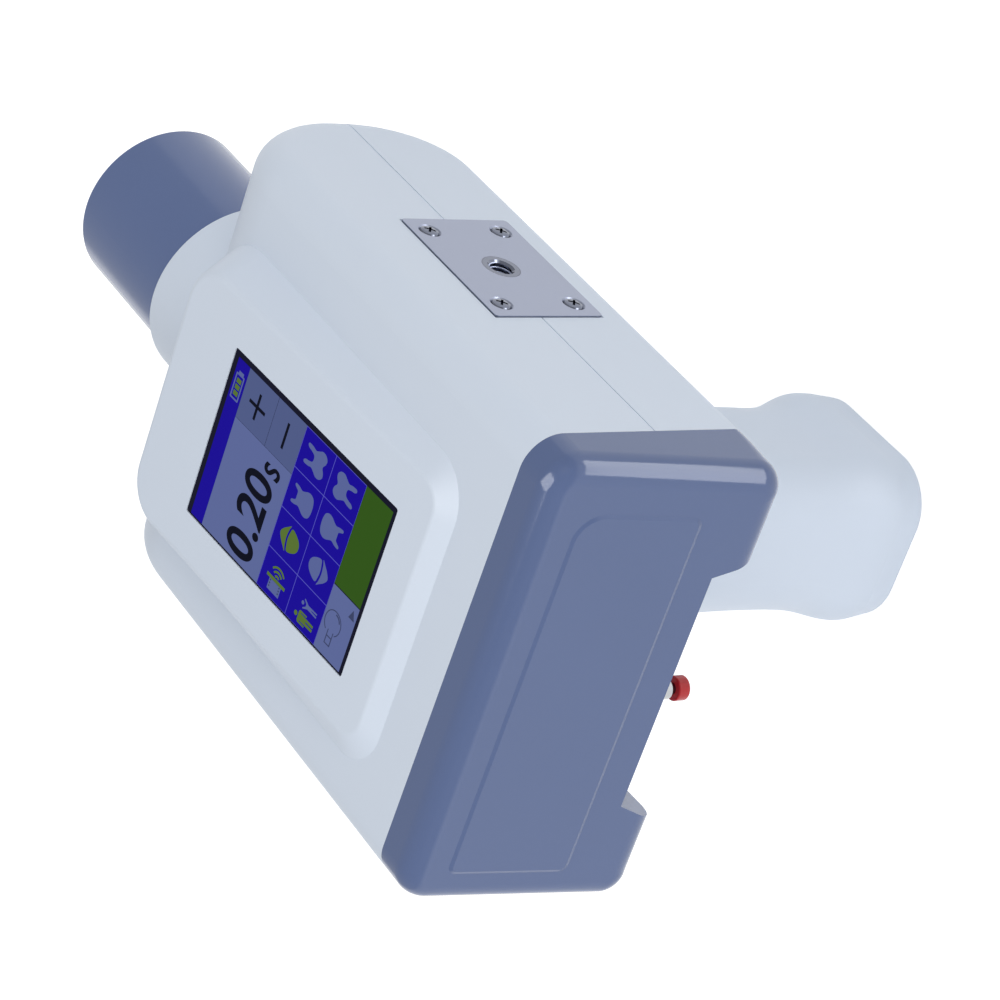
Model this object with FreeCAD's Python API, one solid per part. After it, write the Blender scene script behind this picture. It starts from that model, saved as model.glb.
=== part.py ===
import FreeCAD, Part
import math
import os

from FreeCAD import Rotation, Vector

# Hand-held dental X-ray unit standing on the foot of its pistol grip.
# Origin: centre of the foot on the surface it stands on.  +X is the beam
# direction, +Y the left side, +Z up.  Millimetres throughout.

# ---- overall sizes -------------------------------------------------------
foot_height = 11.2
grip_height = 132.8
housing_below = 36.2          # beam axis down to the housing underside
housing_above = 46.5          # beam axis up to the housing top
housing_length = 206.7        # nose tip back to the rear cap seam
housing_width = 167.8
housing_offset = -2.9         # housing's middle to the right of the beam axis
nose_reach = 124.8            # nose tip ahead of the handle centre
wall = 2.6
seam_groove = 0.5             # shadow line between the two shells

# ---- housing edges -------------------------------------------------------
nose_high_radius = 42.0
top_edge_radius = 12.0
bottom_edge_radius = 4.5

# ---- screen plateau ------------------------------------------------------
plateau_half_top = 48.5
plateau_half_base = 57.5
plateau_front_top = 90.4
plateau_front_base = 98.0
plateau_rear_top = -55.6
plateau_rear_base = -62.6
plateau_top_corner = 9.0
plateau_base_corner = 17.0
plateau_front_corner = 15.0
plateau_front_base_corner = 22.0
plateau_rise = 8.5            # plateau face above the housing top at the screen centre
plateau_tilt = 4.12           # degrees, face turned towards the user
plateau_crest_radius = 3.0
screen_centre = 9.0
screen_length = 98.6
screen_width = 64.7
opening_corner = 1.0
bezel_thickness = 1.6
lens_recess = 0.3             # raised middle of the glass below the plateau face
lens_gap = 0.15
glass_thickness = 1.8
glass_border = 3.0
lcd_thickness = 4.2
display_board_thickness = 1.6
fit_gap = 0.3

# ---- rear cap ------------------------------------------------------------
cap_depth = 21.7              # at the beam axis
cap_tilt = 6.8                # degrees, lower edge further back
cap_drop = 4.0                # cap underside below the housing underside at the rear
cap_edge_radius = 8.0
cap_corner_radius = 12.0      # lower corners where they meet the rear face
recess_cheek_roof = 39.3      # cap beside the recess, at its roof
recess_cheek_mouth = 31.9     # and at its mouth
recess_roof = 22.4            # below the beam axis
tongue_half_width = 6.0
tongue_thickness = 2.0
tongue_reach = 8.0            # to each side of the seam
tongue_gap = 0.2
pad_margin = 16.4             # beside the pad
pad_height = 42.0
pad_centre = 11.0             # above the beam axis
pad_offset = -0.7             # to the right of the beam axis
pad_proud = 0.6
pad_slope = 1.2               # width of the pad's sloping edge
pad_corner = 2.0
pad_big_corner = 9.0

# ---- cone and collar -----------------------------------------------------
cone_radius = 33.0
cone_wall = 2.4
cone_reach = 86.0             # cone rim ahead of the nose tip
collar_wall = 3.0
collar_reach = 23.0           # collar rim ahead of the nose tip
collar_back = 36.8            # collar root behind the nose tip
cone_seat = 22.0              # cone length held in the collar
slide_gap = 0.1
liner_wall = 1.2
aperture_radius = 14.0
ear_half_height = 14.0
ear_thickness = 4.0

# ---- side mounting plate -------------------------------------------------
plate_length = 62.3
plate_height = 42.6
plate_thickness = 1.5
plate_proud = 0.5
plate_corner = 1.5
plate_centre = 17.2
plate_below_axis = 3.6
plate_screw_x = 23.4
plate_screw_z = 14.4
plate_screw_head = 3.9
plate_screw_shank = 2.0
insert_flange_radius = 6.6
insert_body_radius = 6.0
insert_bore_radius = 3.97     # minor radius of a 3/8-16 thread
insert_length = 13.0
backing_thickness = 4.0

# ---- tube head -----------------------------------------------------------
tank_rear = -46.0
tank_front = 70.0
tank_half_width = 40.0
tank_below = 30.6
tank_above = 33.0
tank_wall = 3.0
tank_lid_thickness = 3.0
focus_x = 10.8
tube_radius = 15.0
tube_half_length = 30.0
collimator_radius = 24.0

# ---- handle --------------------------------------------------------------
# rear reach, front reach and half width, at depths below the housing's underside
handle_upper_stations = [
    (0.0, 33.2, 34.0, 32.0),
    (14.8, 33.0, 33.0, 31.5),
    (38.8, 32.6, 31.4, 31.2),
    (66.8, 32.6, 31.6, 31.2),
]
# the same at heights above the foot
handle_lower_stations = [
    (38.0, 33.4, 31.4, 31.0),
    (28.0, 34.5, 31.2, 30.9),
    (20.0, 35.6, 32.8, 31.6),
    (13.0, 37.2, 35.2, 32.8),
    (7.0, 38.6, 36.2, 33.6),
    (0.0, 39.2, 36.2, 33.2),
]
handle_corner = 20.0
handle_wall = 2.6
foot_edge_radius = 2.5
cell_radius = 9.2
cell_base = 25.0              # cells above the foot
cell_pitch = 19.0

# ---- trigger -------------------------------------------------------------
trigger_depth = 29.5          # trigger's middle below the housing underside
trigger_length = 22.0
trigger_width = 16.0
trigger_proud = 6.0
trigger_flange = 2.0
trigger_flange_gap = 1.2       # flange to the grip wall when released
trigger_travel = 3.0
trigger_gap = 0.4

# ---- push button ---------------------------------------------------------
button_back = 9.1             # behind the seam
button_y = 7.0
button_tip = 44.1             # below the beam axis
button_cap_radius = 4.2
button_cap_length = 4.5
plunger_radius = 2.0
plunger_head = 2.7
button_travel = 2.0
bushing_radius = 3.3
bushing_inside = 8.0          # bushing length above the recess roof
nut_width = 10.0
nut_thickness = 2.4
switch_side = 12.0
switch_height = 14.0
running_gap = 0.05

# ---- fasteners -----------------------------------------------------------
screw_clear = 0.15            # round a shank that passes through
thread_clear = 0.05           # round a shank that bites
small_screw = 1.5             # shank radius of the fixing screws
screen_screw = 1.05
board_screw = 1.4
bolt_radius = 1.7
head_hole_radius = 3.2        # wells for screw heads
shell_boss_radius = 4.6
shell_screw_length = 24.0
shell_screw_depth = 24.0      # screw head above the housing underside
shell_screw_front = 68.0
shell_screw_rear = -66.0
shell_screw_inset = 8.9       # from the housing's sides
collar_boss_radius = 3.6
collar_boss_inset = 9.9       # outside the collar
collar_boss_z = 7.5
collar_screw_length = 14.0
foot_screw_x = 28.5
foot_screw_y = 21.5
foot_screw_seat = 3.5
pin_seat = 18.0               # screw heads to the left of the grip's middle
pin_boss_radius = 4.0
tank_ear = 5.0                # tank's ears beyond its ends
board_post_radius = 3.0

# ---- grip bracket --------------------------------------------------------
bracket_thickness = 2.4
bracket_front = 26.0
bracket_rear = -30.0
bracket_half_width = 28.5
bolt_front = 17.0
bolt_rear = -19.0
bolt_y = 23.5
bolt_length = 14.0
tang_x = -25.0
tang_thickness = 3.0
tang_half_width = 12.0
tang_depth = 34.8
cable_hole_radius = 6.0

# ---- boards --------------------------------------------------------------
board_gap = 6.0
board_thickness = 1.6
bracket_x = 53.0
bracket_y = 39.0
gasket_thickness = 1.0
screen_bracket_thickness = 1.2

# ---- charging socket -----------------------------------------------------
socket_height = 24.0
socket_radius = 4.2
socket_bore = 2.8
socket_length = 13.5

# ---- derived levels ------------------------------------------------------
axis_z = foot_height + grip_height + housing_below
top_z = axis_z + housing_above
bottom_z = axis_z - housing_below
right_side = housing_offset - housing_width / 2
nose_x = nose_reach
seam_x = nose_x - housing_length
cap_slope = math.tan(math.radians(cap_tilt))
recess_half_roof = housing_width / 2 - recess_cheek_roof
recess_half_mouth = housing_width / 2 - recess_cheek_mouth
pad_width = housing_width - 2 * pad_margin
button_x = seam_x - button_back
collar_radius = cone_radius + slide_gap + collar_wall
trigger_height = bottom_z - trigger_depth
cell_bottom = foot_height + cell_base
cell_top = trigger_height - trigger_length / 2 - trigger_flange - 0.8
cell_length = cell_top - cell_bottom
handle_stations = ([(bottom_z - depth, *sizes) for depth, *sizes in handle_upper_stations]
                   + [(foot_height + height, *sizes) for height, *sizes in handle_lower_stations])
collar_root = nose_x - collar_back
collar_rim = nose_x + collar_reach
cone_rim = nose_x + cone_reach
cone_root = collar_rim - cone_seat
floor_z = bottom_z + wall
tank_floor = axis_z - tank_below
roof_z = axis_z - recess_roof
tongue_y = housing_width / 2 - top_edge_radius - tongue_half_width - 2.0
plate_z = axis_z - plate_below_axis
plate_outer = right_side - plate_proud
plate_inner = plate_outer + plate_thickness
shell_screw_y = housing_width / 2 - shell_screw_inset
shell_points = [(x, housing_offset + side * shell_screw_y)
                for x in (shell_screw_front, shell_screw_rear) for side in (1, -1)]
collar_boss_y = collar_radius + collar_boss_inset
ear_half_width = collar_boss_y + 6.0
collar_points = [(sy * collar_boss_y, axis_z + sz * collar_boss_z)
                 for sy in (-1, 1) for sz in (-1, 1)]
bolt_points = [(x, side * bolt_y) for x in (bolt_rear, bolt_front) for side in (1, -1)]
foot_points = [(sx * foot_screw_x, sy * foot_screw_y) for sx in (1, -1) for sy in (1, -1)]
handle_pins = [(-8.0, bottom_z - 21.0), (0.0, foot_height + 12.0)]
screen_stack = (bezel_thickness + glass_thickness + gasket_thickness + lcd_thickness
                + display_board_thickness)
backing_outer = right_side + wall

beyond = 400.0                # reach of the blocks that halve a shape

X = Vector(1, 0, 0)
Y = Vector(0, 1, 0)
Z = Vector(0, 0, 1)

os.makedirs("parts", exist_ok=True)
doc = FreeCAD.newDocument("unit")


# ---- small helpers -------------------------------------------------------
def block(x0, x1, y0, y1, z0, z1):
    return Part.makeBox(x1 - x0, y1 - y0, z1 - z0, Vector(x0, y0, z0))


def rod(radius, start, length, direction):
    return Part.makeCylinder(radius, length, start, direction)


def tube(outer, inner, start, length, direction):
    return rod(outer, start, length, direction).cut(rod(inner, start, length, direction))


def joined(shapes):
    first, rest = shapes[0], shapes[1:]
    return first.multiFuse(rest).removeSplitter() if rest else first


def less(shape, tools):
    return shape.cut(Part.makeCompound(tools))


def solid_from(wire, direction):
    return Part.Face(wire).extrude(direction)


def rounded_wire(x0, x1, y0, y1, z, radii):
    """Closed rectangle in a level plane; radii go x1y1, x0y1, x0y0, x1y0."""
    corners = [(x1, y1, 0), (x0, y1, 90), (x0, y0, 180), (x1, y0, 270)]
    arcs = []
    for (cx, cy, turn), radius in zip(corners, radii):
        sx = 1 if cx == x1 else -1
        sy = 1 if cy == y1 else -1
        centre = Vector(cx - sx * radius, cy - sy * radius, z)
        arcs.append(Part.makeCircle(radius, centre, Z, turn, turn + 90))
    edges = []
    for i, arc in enumerate(arcs):
        edges.append(arc)
        following = arcs[(i + 1) % 4]
        edges.append(Part.makeLine(arc.Vertexes[-1].Point, following.Vertexes[0].Point))
    return Part.Wire(edges)


def rounded_slab(x0, x1, y0, y1, z0, z1, radius):
    wire = rounded_wire(x0, x1, y0, y1, z0, [radius] * 4)
    return solid_from(wire, Vector(0, 0, z1 - z0))


def round_edges(shape, rule):
    """Fillet each edge for which rule(edge) gives its start and end radius."""
    base = doc.addObject("Part::Feature", "Base")
    base.Shape = shape
    feature = doc.addObject("Part::Fillet", "Round")
    feature.Base = base
    picked = []
    for number, edge in enumerate(shape.Edges, 1):
        radii = rule(edge)
        if radii:
            picked.append((number, radii[0], radii[1]))
    feature.Edges = picked
    doc.recompute()
    return feature.Shape


def middle(edge):
    return edge.valueAt((edge.FirstParameter + edge.LastParameter) / 2)


def save(name, shapes):
    group = shapes if isinstance(shapes, list) else [shapes]
    solids = [solid for shape in group for solid in shape.Solids]
    result = solids[0] if len(solids) == 1 else Part.makeCompound(solids)
    for solid in solids:
        assert solid.isValid(), name
    result.exportStep("parts/" + name + ".step")
    print(name, len(solids), round(sum(s.Volume for s in solids), 1))


# ---- housing -------------------------------------------------------------
def housing_profile(inset, rear):
    low = housing_below - inset
    high = nose_high_radius - inset
    tip = nose_x - inset
    low_x = nose_x - housing_below
    high_x = nose_x - nose_high_radius
    high_z = top_z - nose_high_radius
    low_arc = Part.Arc(
        Vector(low_x, 0, axis_z - low),
        Vector(low_x + low * math.cos(math.pi / 4), 0, axis_z - low * math.sin(math.pi / 4)),
        Vector(tip, 0, axis_z))
    high_arc = Part.Arc(
        Vector(tip, 0, high_z),
        Vector(high_x + high * math.cos(math.pi / 4), 0, high_z + high * math.sin(math.pi / 4)),
        Vector(high_x, 0, high_z + high))
    lines = [
        Part.LineSegment(Vector(rear, 0, axis_z - low), Vector(low_x, 0, axis_z - low)),
        low_arc,
        Part.LineSegment(Vector(tip, 0, axis_z), Vector(tip, 0, high_z)),
        high_arc,
        Part.LineSegment(Vector(high_x, 0, high_z + high), Vector(rear, 0, high_z + high)),
        Part.LineSegment(Vector(rear, 0, high_z + high), Vector(rear, 0, axis_z - low)),
    ]
    return Part.Wire([line.toShape() for line in lines])


def housing_form(inset, rear):
    """Slab with a round nose, its side edges softened."""
    width = housing_width - 2 * inset
    body = solid_from(housing_profile(inset, rear), Vector(0, width, 0))
    body.translate(Vector(0, housing_offset - width / 2, 0))
    big = top_edge_radius - inset
    small = bottom_edge_radius - inset

    def rule(edge):
        point = middle(edge)
        if abs(abs(point.y - housing_offset) - width / 2) > 0.01 or point.x < rear + 0.01:
            return None
        if point.z > axis_z:
            return big, big
        if edge.Curve.TypeId == "Part::GeomLine":
            return small, small
        low_first = edge.Vertexes[0].Z < edge.Vertexes[1].Z
        return (small, big) if low_first else (big, small)

    return round_edges(body, rule)


def plateau_corners(front, rear):
    return [front, rear, rear, front]


def plateau_form(inset):
    """Raised screen surround, its face tilted towards the user."""
    half_base = plateau_half_base - inset
    half_top = plateau_half_top - inset
    base_z = top_z - inset
    base = rounded_wire(plateau_rear_base + inset, plateau_front_base - inset,
                        -half_base, half_base, base_z,
                        plateau_corners(plateau_front_base_corner - inset, plateau_base_corner - inset))
    face = rounded_wire(plateau_rear_top + inset, plateau_front_top - inset, -half_top, half_top, 0,
                        plateau_corners(plateau_front_corner - inset, plateau_top_corner - inset))
    face.translate(Vector(-screen_centre, 0, -inset))
    face.rotate(Vector(0, 0, 0), Y, -plateau_tilt)
    face.translate(Vector(screen_centre, 0, top_z + plateau_rise))
    crown = Part.makeLoft([base, face], True, True)
    sink = 12.0
    root = solid_from(base, Vector(0, 0, -sink))
    return crown.fuse(root).removeSplitter()


def soft_plateau():
    raw = plateau_form(0)

    def rule(edge):
        point = middle(edge)
        crest = top_z + plateau_rise + (point.x - screen_centre) * math.tan(math.radians(plateau_tilt))
        return (plateau_crest_radius, plateau_crest_radius) if abs(point.z - crest) < 0.4 else None

    return round_edges(raw, rule)


def on_screen(shape):
    """Move a shape drawn about the screen centre, face level 0, to its place."""
    shape.rotate(Vector(0, 0, 0), Y, -plateau_tilt)
    shape.translate(Vector(screen_centre, 0, top_z + plateau_rise))
    return shape


def cap_rear_x(z):
    return seam_x - cap_depth + cap_slope * (z - axis_z)


def cap_form(inset):
    """Closed form of the rear cap with its hand recess."""
    width = housing_width - 2 * inset
    front = seam_x + (1.0 if inset else 0.0)
    high = top_z - inset
    low = bottom_z + inset
    rear_low = bottom_z - cap_drop + inset
    back = inset / math.cos(math.radians(cap_tilt))
    points = [
        Vector(front, 0, high),
        Vector(cap_rear_x(high) + back, 0, high),
        Vector(cap_rear_x(rear_low) + back, 0, rear_low),
        Vector(front, 0, low),
    ]
    body = solid_from(Part.makePolygon(points + points[:1]), Vector(0, width, 0))
    body.translate(Vector(0, housing_offset - width / 2, 0))
    big = top_edge_radius - inset
    small = bottom_edge_radius - inset
    corner = cap_corner_radius - inset
    edge_radius = max(cap_edge_radius - inset, 1.0)

    def side_rule(edge):
        point = middle(edge)
        if abs(abs(point.y - housing_offset) - width / 2) > 0.01:
            return None
        if abs(point.z - high) < 0.01:
            return big, big
        if point.z < low + 0.01:
            rear_first = edge.Vertexes[0].X < edge.Vertexes[1].X
            return (corner, small) if rear_first else (small, corner)
        return None

    def back_rule(edge):
        ends = [edge.Vertexes[0].Point, edge.Vertexes[-1].Point, middle(edge)]
        flush = all(abs(p.x - cap_rear_x(p.z) - back) < 0.02 for p in ends)
        return (edge_radius, edge_radius) if flush else None

    body = round_edges(round_edges(body, side_rule), back_rule)
    return body.cut(recess_form(inset))


def recess_form(inset):
    roof = axis_z - recess_roof + inset
    mouth = bottom_z - cap_drop - 5.0
    lean = (recess_half_mouth - recess_half_roof) / (housing_below + cap_drop - recess_roof)
    half_roof = recess_half_roof + inset
    half_mouth = half_roof + lean * (roof - mouth)
    points = [
        Vector(0, -half_roof, roof),
        Vector(0, half_roof, roof),
        Vector(0, half_mouth, mouth),
        Vector(0, -half_mouth, mouth),
    ]
    wedge = solid_from(Part.makePolygon(points + points[:1]), Vector(60.0, 0, 0))
    wedge.translate(Vector(seam_x - 50.0, housing_offset, 0))
    if inset:
        return wedge
    return wedge.common(block(seam_x - 50.0, seam_x, housing_offset - half_mouth,
                              housing_offset + half_mouth, mouth, roof))


# ---- grip profile --------------------------------------------------------
def front_at(height):
    """Reach of the grip's front face at one height."""
    above = [row for row in handle_stations if row[0] >= height][-1]
    below = [row for row in handle_stations if row[0] <= height][0]
    if above[0] == below[0]:
        return above[2]
    share = (height - below[0]) / (above[0] - below[0])
    return below[2] + share * (above[2] - below[2])


# ---- fasteners -----------------------------------------------------------
def place_along(shape, point, direction):
    """Turn a shape drawn along +Z to a direction and move it to a point."""
    shape.Placement = FreeCAD.Placement(point, Rotation(Z, direction))
    return shape


def cross_slot(size, depth, level):
    bar = block(-size, size, -size / 4, size / 4, level - depth, level)
    other = block(-size / 4, size / 4, -size, size, level - depth, level)
    return bar.fuse(other)


def pan_screw(shank, length, point, direction):
    """Pan head screw; the head's seat is at the point, the shank runs along direction."""
    head = rod(shank * 1.9, Vector(0, 0, -shank * 1.2), shank * 1.2, Z)
    body = head.fuse(rod(shank, Vector(0, 0, 0), length, Z))
    slot = block(-shank, shank, -shank / 4, shank / 4, -shank * 1.2, -shank * 0.6)
    return place_along(body.cut(slot), point, direction)


def flat_screw(shank, head, length, point, direction):
    """Countersunk screw; the flat of its head is at the point."""
    cone = Part.makeCone(head, shank, head - shank, Vector(0, 0, 0), Z)
    body = cone.fuse(rod(shank, Vector(0, 0, 0), length, Z))
    slot = cross_slot(head * 0.55, head * 0.3, head * 0.3)
    return place_along(body.cut(slot), point, direction)


def flat_hole(shank, head, length, point, direction):
    cone = Part.makeCone(head + screw_clear, shank + screw_clear, head - shank, Vector(0, 0, 0), Z)
    return place_along(cone.fuse(rod(shank + screw_clear, Vector(0, 0, 0), length, Z)), point, direction)


def hexagon(width, z0, thickness, centre):
    radius = width / math.sqrt(3)
    points = []
    for step in range(7):
        turn = math.radians(60 * step)
        points.append(Vector(centre.x + radius * math.cos(turn), centre.y + radius * math.sin(turn), z0))
    return solid_from(Part.makePolygon(points), Vector(0, 0, thickness))


# ---- housing shells ------------------------------------------------------
def collar_hole():
    return rod(collar_radius + slide_gap, Vector(collar_root - 1.0, 0, axis_z), 80.0, X)


def screen_cuts():
    half_x, half_y = screen_length / 2, screen_width / 2
    opening = rounded_slab(-half_x, half_x, -half_y, half_y, -20.0, 20.0, opening_corner)
    rim_x = half_x + glass_border + fit_gap
    rim_y = half_y + glass_border + fit_gap
    rebate = block(-rim_x, rim_x, -rim_y, rim_y, -wall - 5.0, -bezel_thickness)
    return [on_screen(opening), on_screen(rebate)]


def plate_pocket():
    half_x = plate_length / 2 + fit_gap
    half_z = plate_height / 2 + fit_gap
    return block(plate_centre - half_x, plate_centre + half_x, plate_outer, plate_inner,
                 plate_z - half_z, plate_z + half_z)


def plate_screw_points():
    return [Vector(plate_centre + sx * plate_screw_x, plate_outer, plate_z + sz * plate_screw_z)
            for sx in (-1, 1) for sz in (-1, 1)]


def plate_holes():
    holes = [flat_hole(plate_screw_shank, plate_screw_head, 16.0, point, Y)
             for point in plate_screw_points()]
    centre = Vector(plate_centre, plate_outer - 1.0, plate_z)
    holes.append(rod(insert_body_radius + screw_clear, centre, 24.0, Y))
    return holes


def bracket_points():
    return [(sx * bracket_x, sy * bracket_y) for sx in (-1, 1) for sy in (-1, 1)]


def screen_bosses():
    bosses = []
    for x, y in bracket_points():
        base = Vector(x, y, -screen_stack)
        boss = rod(board_post_radius, base, screen_stack - wall + 0.5, Z)
        bosses.append(on_screen(boss.cut(rod(screen_screw + thread_clear, base, 7.0, Z))))
    return bosses


def shell_bosses(low, high):
    return [rod(shell_boss_radius, Vector(x, y, low), high - low, Z) for x, y in shell_points]


def collar_bosses():
    """Posts behind the nose that carry the collar's ears."""
    start = collar_root + ear_thickness
    return [rod(collar_boss_radius, Vector(start, y, z), nose_x - start, X) for y, z in collar_points]


def collar_boss_holes():
    return [rod(small_screw + thread_clear, Vector(collar_root, y, z), 20.0, X)
            for y, z in collar_points]


def shadow_line():
    """Narrow groove round the outside of the joint between the two shells."""
    rim = housing_form(0, seam_x).cut(housing_form(seam_groove, seam_x - 1.0))
    return rim.common(block(-beyond, beyond, -beyond, beyond, axis_z - seam_groove, axis_z))


def make_upper_housing():
    skin = housing_form(0, seam_x).fuse(soft_plateau())
    hollow = housing_form(wall, seam_x - 1.0).fuse(plateau_form(wall))
    half = block(-beyond, beyond, -beyond, beyond, axis_z, axis_z + beyond)
    bosses = shell_bosses(axis_z, top_z - 1.0) + collar_bosses()
    inside = Part.makeCompound(bosses).common(skin).common(half)
    shell = joined([skin.cut(hollow).common(half)] + inside.Solids + screen_bosses())
    shell = less(shell, [collar_hole(), plate_pocket()] + screen_cuts() + plate_holes())
    screws = [rod(small_screw + thread_clear, Vector(x, y, axis_z), 14.0, Z) for x, y in shell_points]
    return less(shell, screws + collar_boss_holes())


def make_lower_housing():
    skin = housing_form(0, seam_x)
    half = block(-beyond, beyond, -beyond, beyond, 0, axis_z)
    reach = recess_half_mouth + 4.0
    closing = block(seam_x, seam_x + wall, housing_offset - reach, housing_offset + reach,
                    bottom_z, roof_z + wall + 1.0)
    tank_posts = [rod(5.0, Vector(x, y, bottom_z + 1.0), tank_floor - bottom_z - 1.0, Z)
                  for x, y in tank_ear_points()]
    bosses = shell_bosses(bottom_z + 1.0, axis_z) + collar_bosses() + tank_posts + [closing]
    inside = Part.makeCompound(bosses).common(skin).common(half)
    shell = joined([skin.cut(housing_form(wall, seam_x - 1.0)).common(half)] + inside.Solids)
    cuts = [collar_hole(), plate_pocket(), shadow_line()] + plate_holes() + collar_boss_holes()
    for x, y in shell_points:
        head_z = bottom_z + shell_screw_depth
        cuts.append(rod(head_hole_radius, Vector(x, y, bottom_z - 1.0), head_z - bottom_z + 1.0, Z))
        cuts.append(rod(small_screw + screw_clear, Vector(x, y, bottom_z), 60.0, Z))
    for x, y in tank_ear_points():
        cuts.append(rod(small_screw + thread_clear, Vector(x, y, tank_floor - 3.0), 6.0, Z))
    for x, y in bolt_points:
        cuts.append(rod(bolt_radius + screw_clear, Vector(x, y, bottom_z - 1.0), 6.0, Z))
    gap = fit_gap
    cuts.append(block(tang_x - gap, tang_x + tang_thickness + gap, -tang_half_width - gap,
                      tang_half_width + gap, bottom_z - 1.0, bottom_z + 6.0))
    cuts.append(rod(cable_hole_radius, Vector(0, 0, bottom_z - 1.0), 6.0, Z))
    return less(shell, cuts)


def pad_slab():
    """Raised blank field on the rear face, one corner rounder than the rest."""
    wires = []
    for level, grow in ((0, pad_slope), (pad_proud, 0)):
        half_y, half_z = pad_width / 2 + grow, pad_height / 2 + grow
        wires.append(rounded_wire(-half_z, half_z, -half_y, half_y, level,
                                  [pad_corner + grow] * 3 + [pad_big_corner + grow]))
    root = solid_from(wires[0], Vector(0, 0, -wall / 2))
    slab = Part.makeLoft(wires, True, True).fuse(root).removeSplitter()
    slab.translate(Vector(pad_centre, pad_offset, 0))
    slab.rotate(Vector(0, 0, 0), Y, cap_tilt - 90)
    slab.translate(Vector(cap_rear_x(axis_z), 0, axis_z))
    return slab


def make_rear_cap():
    shell = cap_form(0).cut(cap_form(wall))
    tongues = []
    top_face = top_z - wall - tongue_gap
    low_face = floor_z + tongue_gap
    for side in (-1, 1):
        left = housing_offset + side * tongue_y - tongue_half_width
        right = left + 2 * tongue_half_width
        for low, high in ((top_face - tongue_thickness, top_face), (low_face, low_face + tongue_thickness)):
            tongues.append(block(seam_x - tongue_reach, seam_x + tongue_reach, left, right, low, high))
            root = (high, top_z - 1.0) if high > axis_z else (bottom_z + 1.0, low)
            tongues.append(block(seam_x - tongue_reach, seam_x - 0.5, left, right, *root))
    shell = joined([shell, pad_slab()] + tongues)
    hole = rod(bushing_radius + slide_gap, Vector(button_x, button_y, roof_z - 1.0), wall + 2.0, Z)
    return shell.cut(hole)


# ---- collar and cone -----------------------------------------------------
def make_front_collar():
    body = rod(collar_radius, Vector(collar_root, 0, axis_z), collar_rim - collar_root, X)
    rim = [e for e in body.Edges if abs(middle(e).x - collar_rim) < 0.01 and e.Length > 10]
    body = body.makeFillet(1.0, rim)
    ears = rounded_slab(-ear_half_height, ear_half_height, -ear_half_width, ear_half_width,
                        0, ear_thickness, 4.0)
    ears.rotate(Vector(0, 0, 0), Y, 90)
    ears.translate(Vector(collar_root, 0, axis_z))
    body = body.fuse(ears)
    seat = rod(cone_radius + slide_gap, Vector(cone_root - 2.0, 0, axis_z), 60.0, X)
    throat = rod(cone_radius - 3.0, Vector(collar_root - 1.0, 0, axis_z), 60.0, X)
    holes = [rod(small_screw + screw_clear, Vector(collar_root - 1.0, y, z), 8.0, X)
             for y, z in collar_points]
    return less(body, [seat, throat] + holes)


def make_cone():
    length = cone_rim - cone_root
    body = tube(cone_radius, cone_radius - cone_wall, Vector(cone_root, 0, axis_z), length, X)
    rim = [e for e in body.Edges if abs(middle(e).x - cone_rim) < 0.01 and e.Length > 10]
    return body.makeFillet(0.9, rim)


def make_beam_parts():
    liner_outer = cone_radius - 3.0 - slide_gap
    window_x = cone_root - 2.0
    save("beam_window", rod(cone_radius, Vector(window_x, 0, axis_z), 2.0, X))
    start = collar_root + 6.0
    save("lead_liner", tube(liner_outer, liner_outer - liner_wall, Vector(start, 0, axis_z),
                            window_x - start, X))
    front = collar_root + 2.0
    block_body = rod(collimator_radius, Vector(tank_front, 0, axis_z), front - tank_front, X)
    bore = Part.makeCone(aperture_radius - 4.0, aperture_radius, front - tank_front,
                         Vector(tank_front, 0, axis_z), X)
    seat = rod(aperture_radius + 4.0, Vector(front - 3.0, 0, axis_z), 4.0, X)
    save("lead_collimator", less(block_body, [bore, seat]))
    save("beam_filter", rod(aperture_radius + 3.9, Vector(front - 3.0, 0, axis_z), 1.5, X))
    save("filter_ring", tube(aperture_radius + 3.9, aperture_radius + 0.5,
                             Vector(front - 1.5, 0, axis_z), 1.5, X))
    save("collar_screws", [pan_screw(small_screw, collar_screw_length, Vector(collar_root, y, z), X)
                           for y, z in collar_points])


# ---- tube head -----------------------------------------------------------
def tank_ear_points():
    return [(x, sy * (tank_half_width - 6.0)) for x in (tank_rear - tank_ear, tank_front + tank_ear)
            for sy in (-1, 1)]


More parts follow.
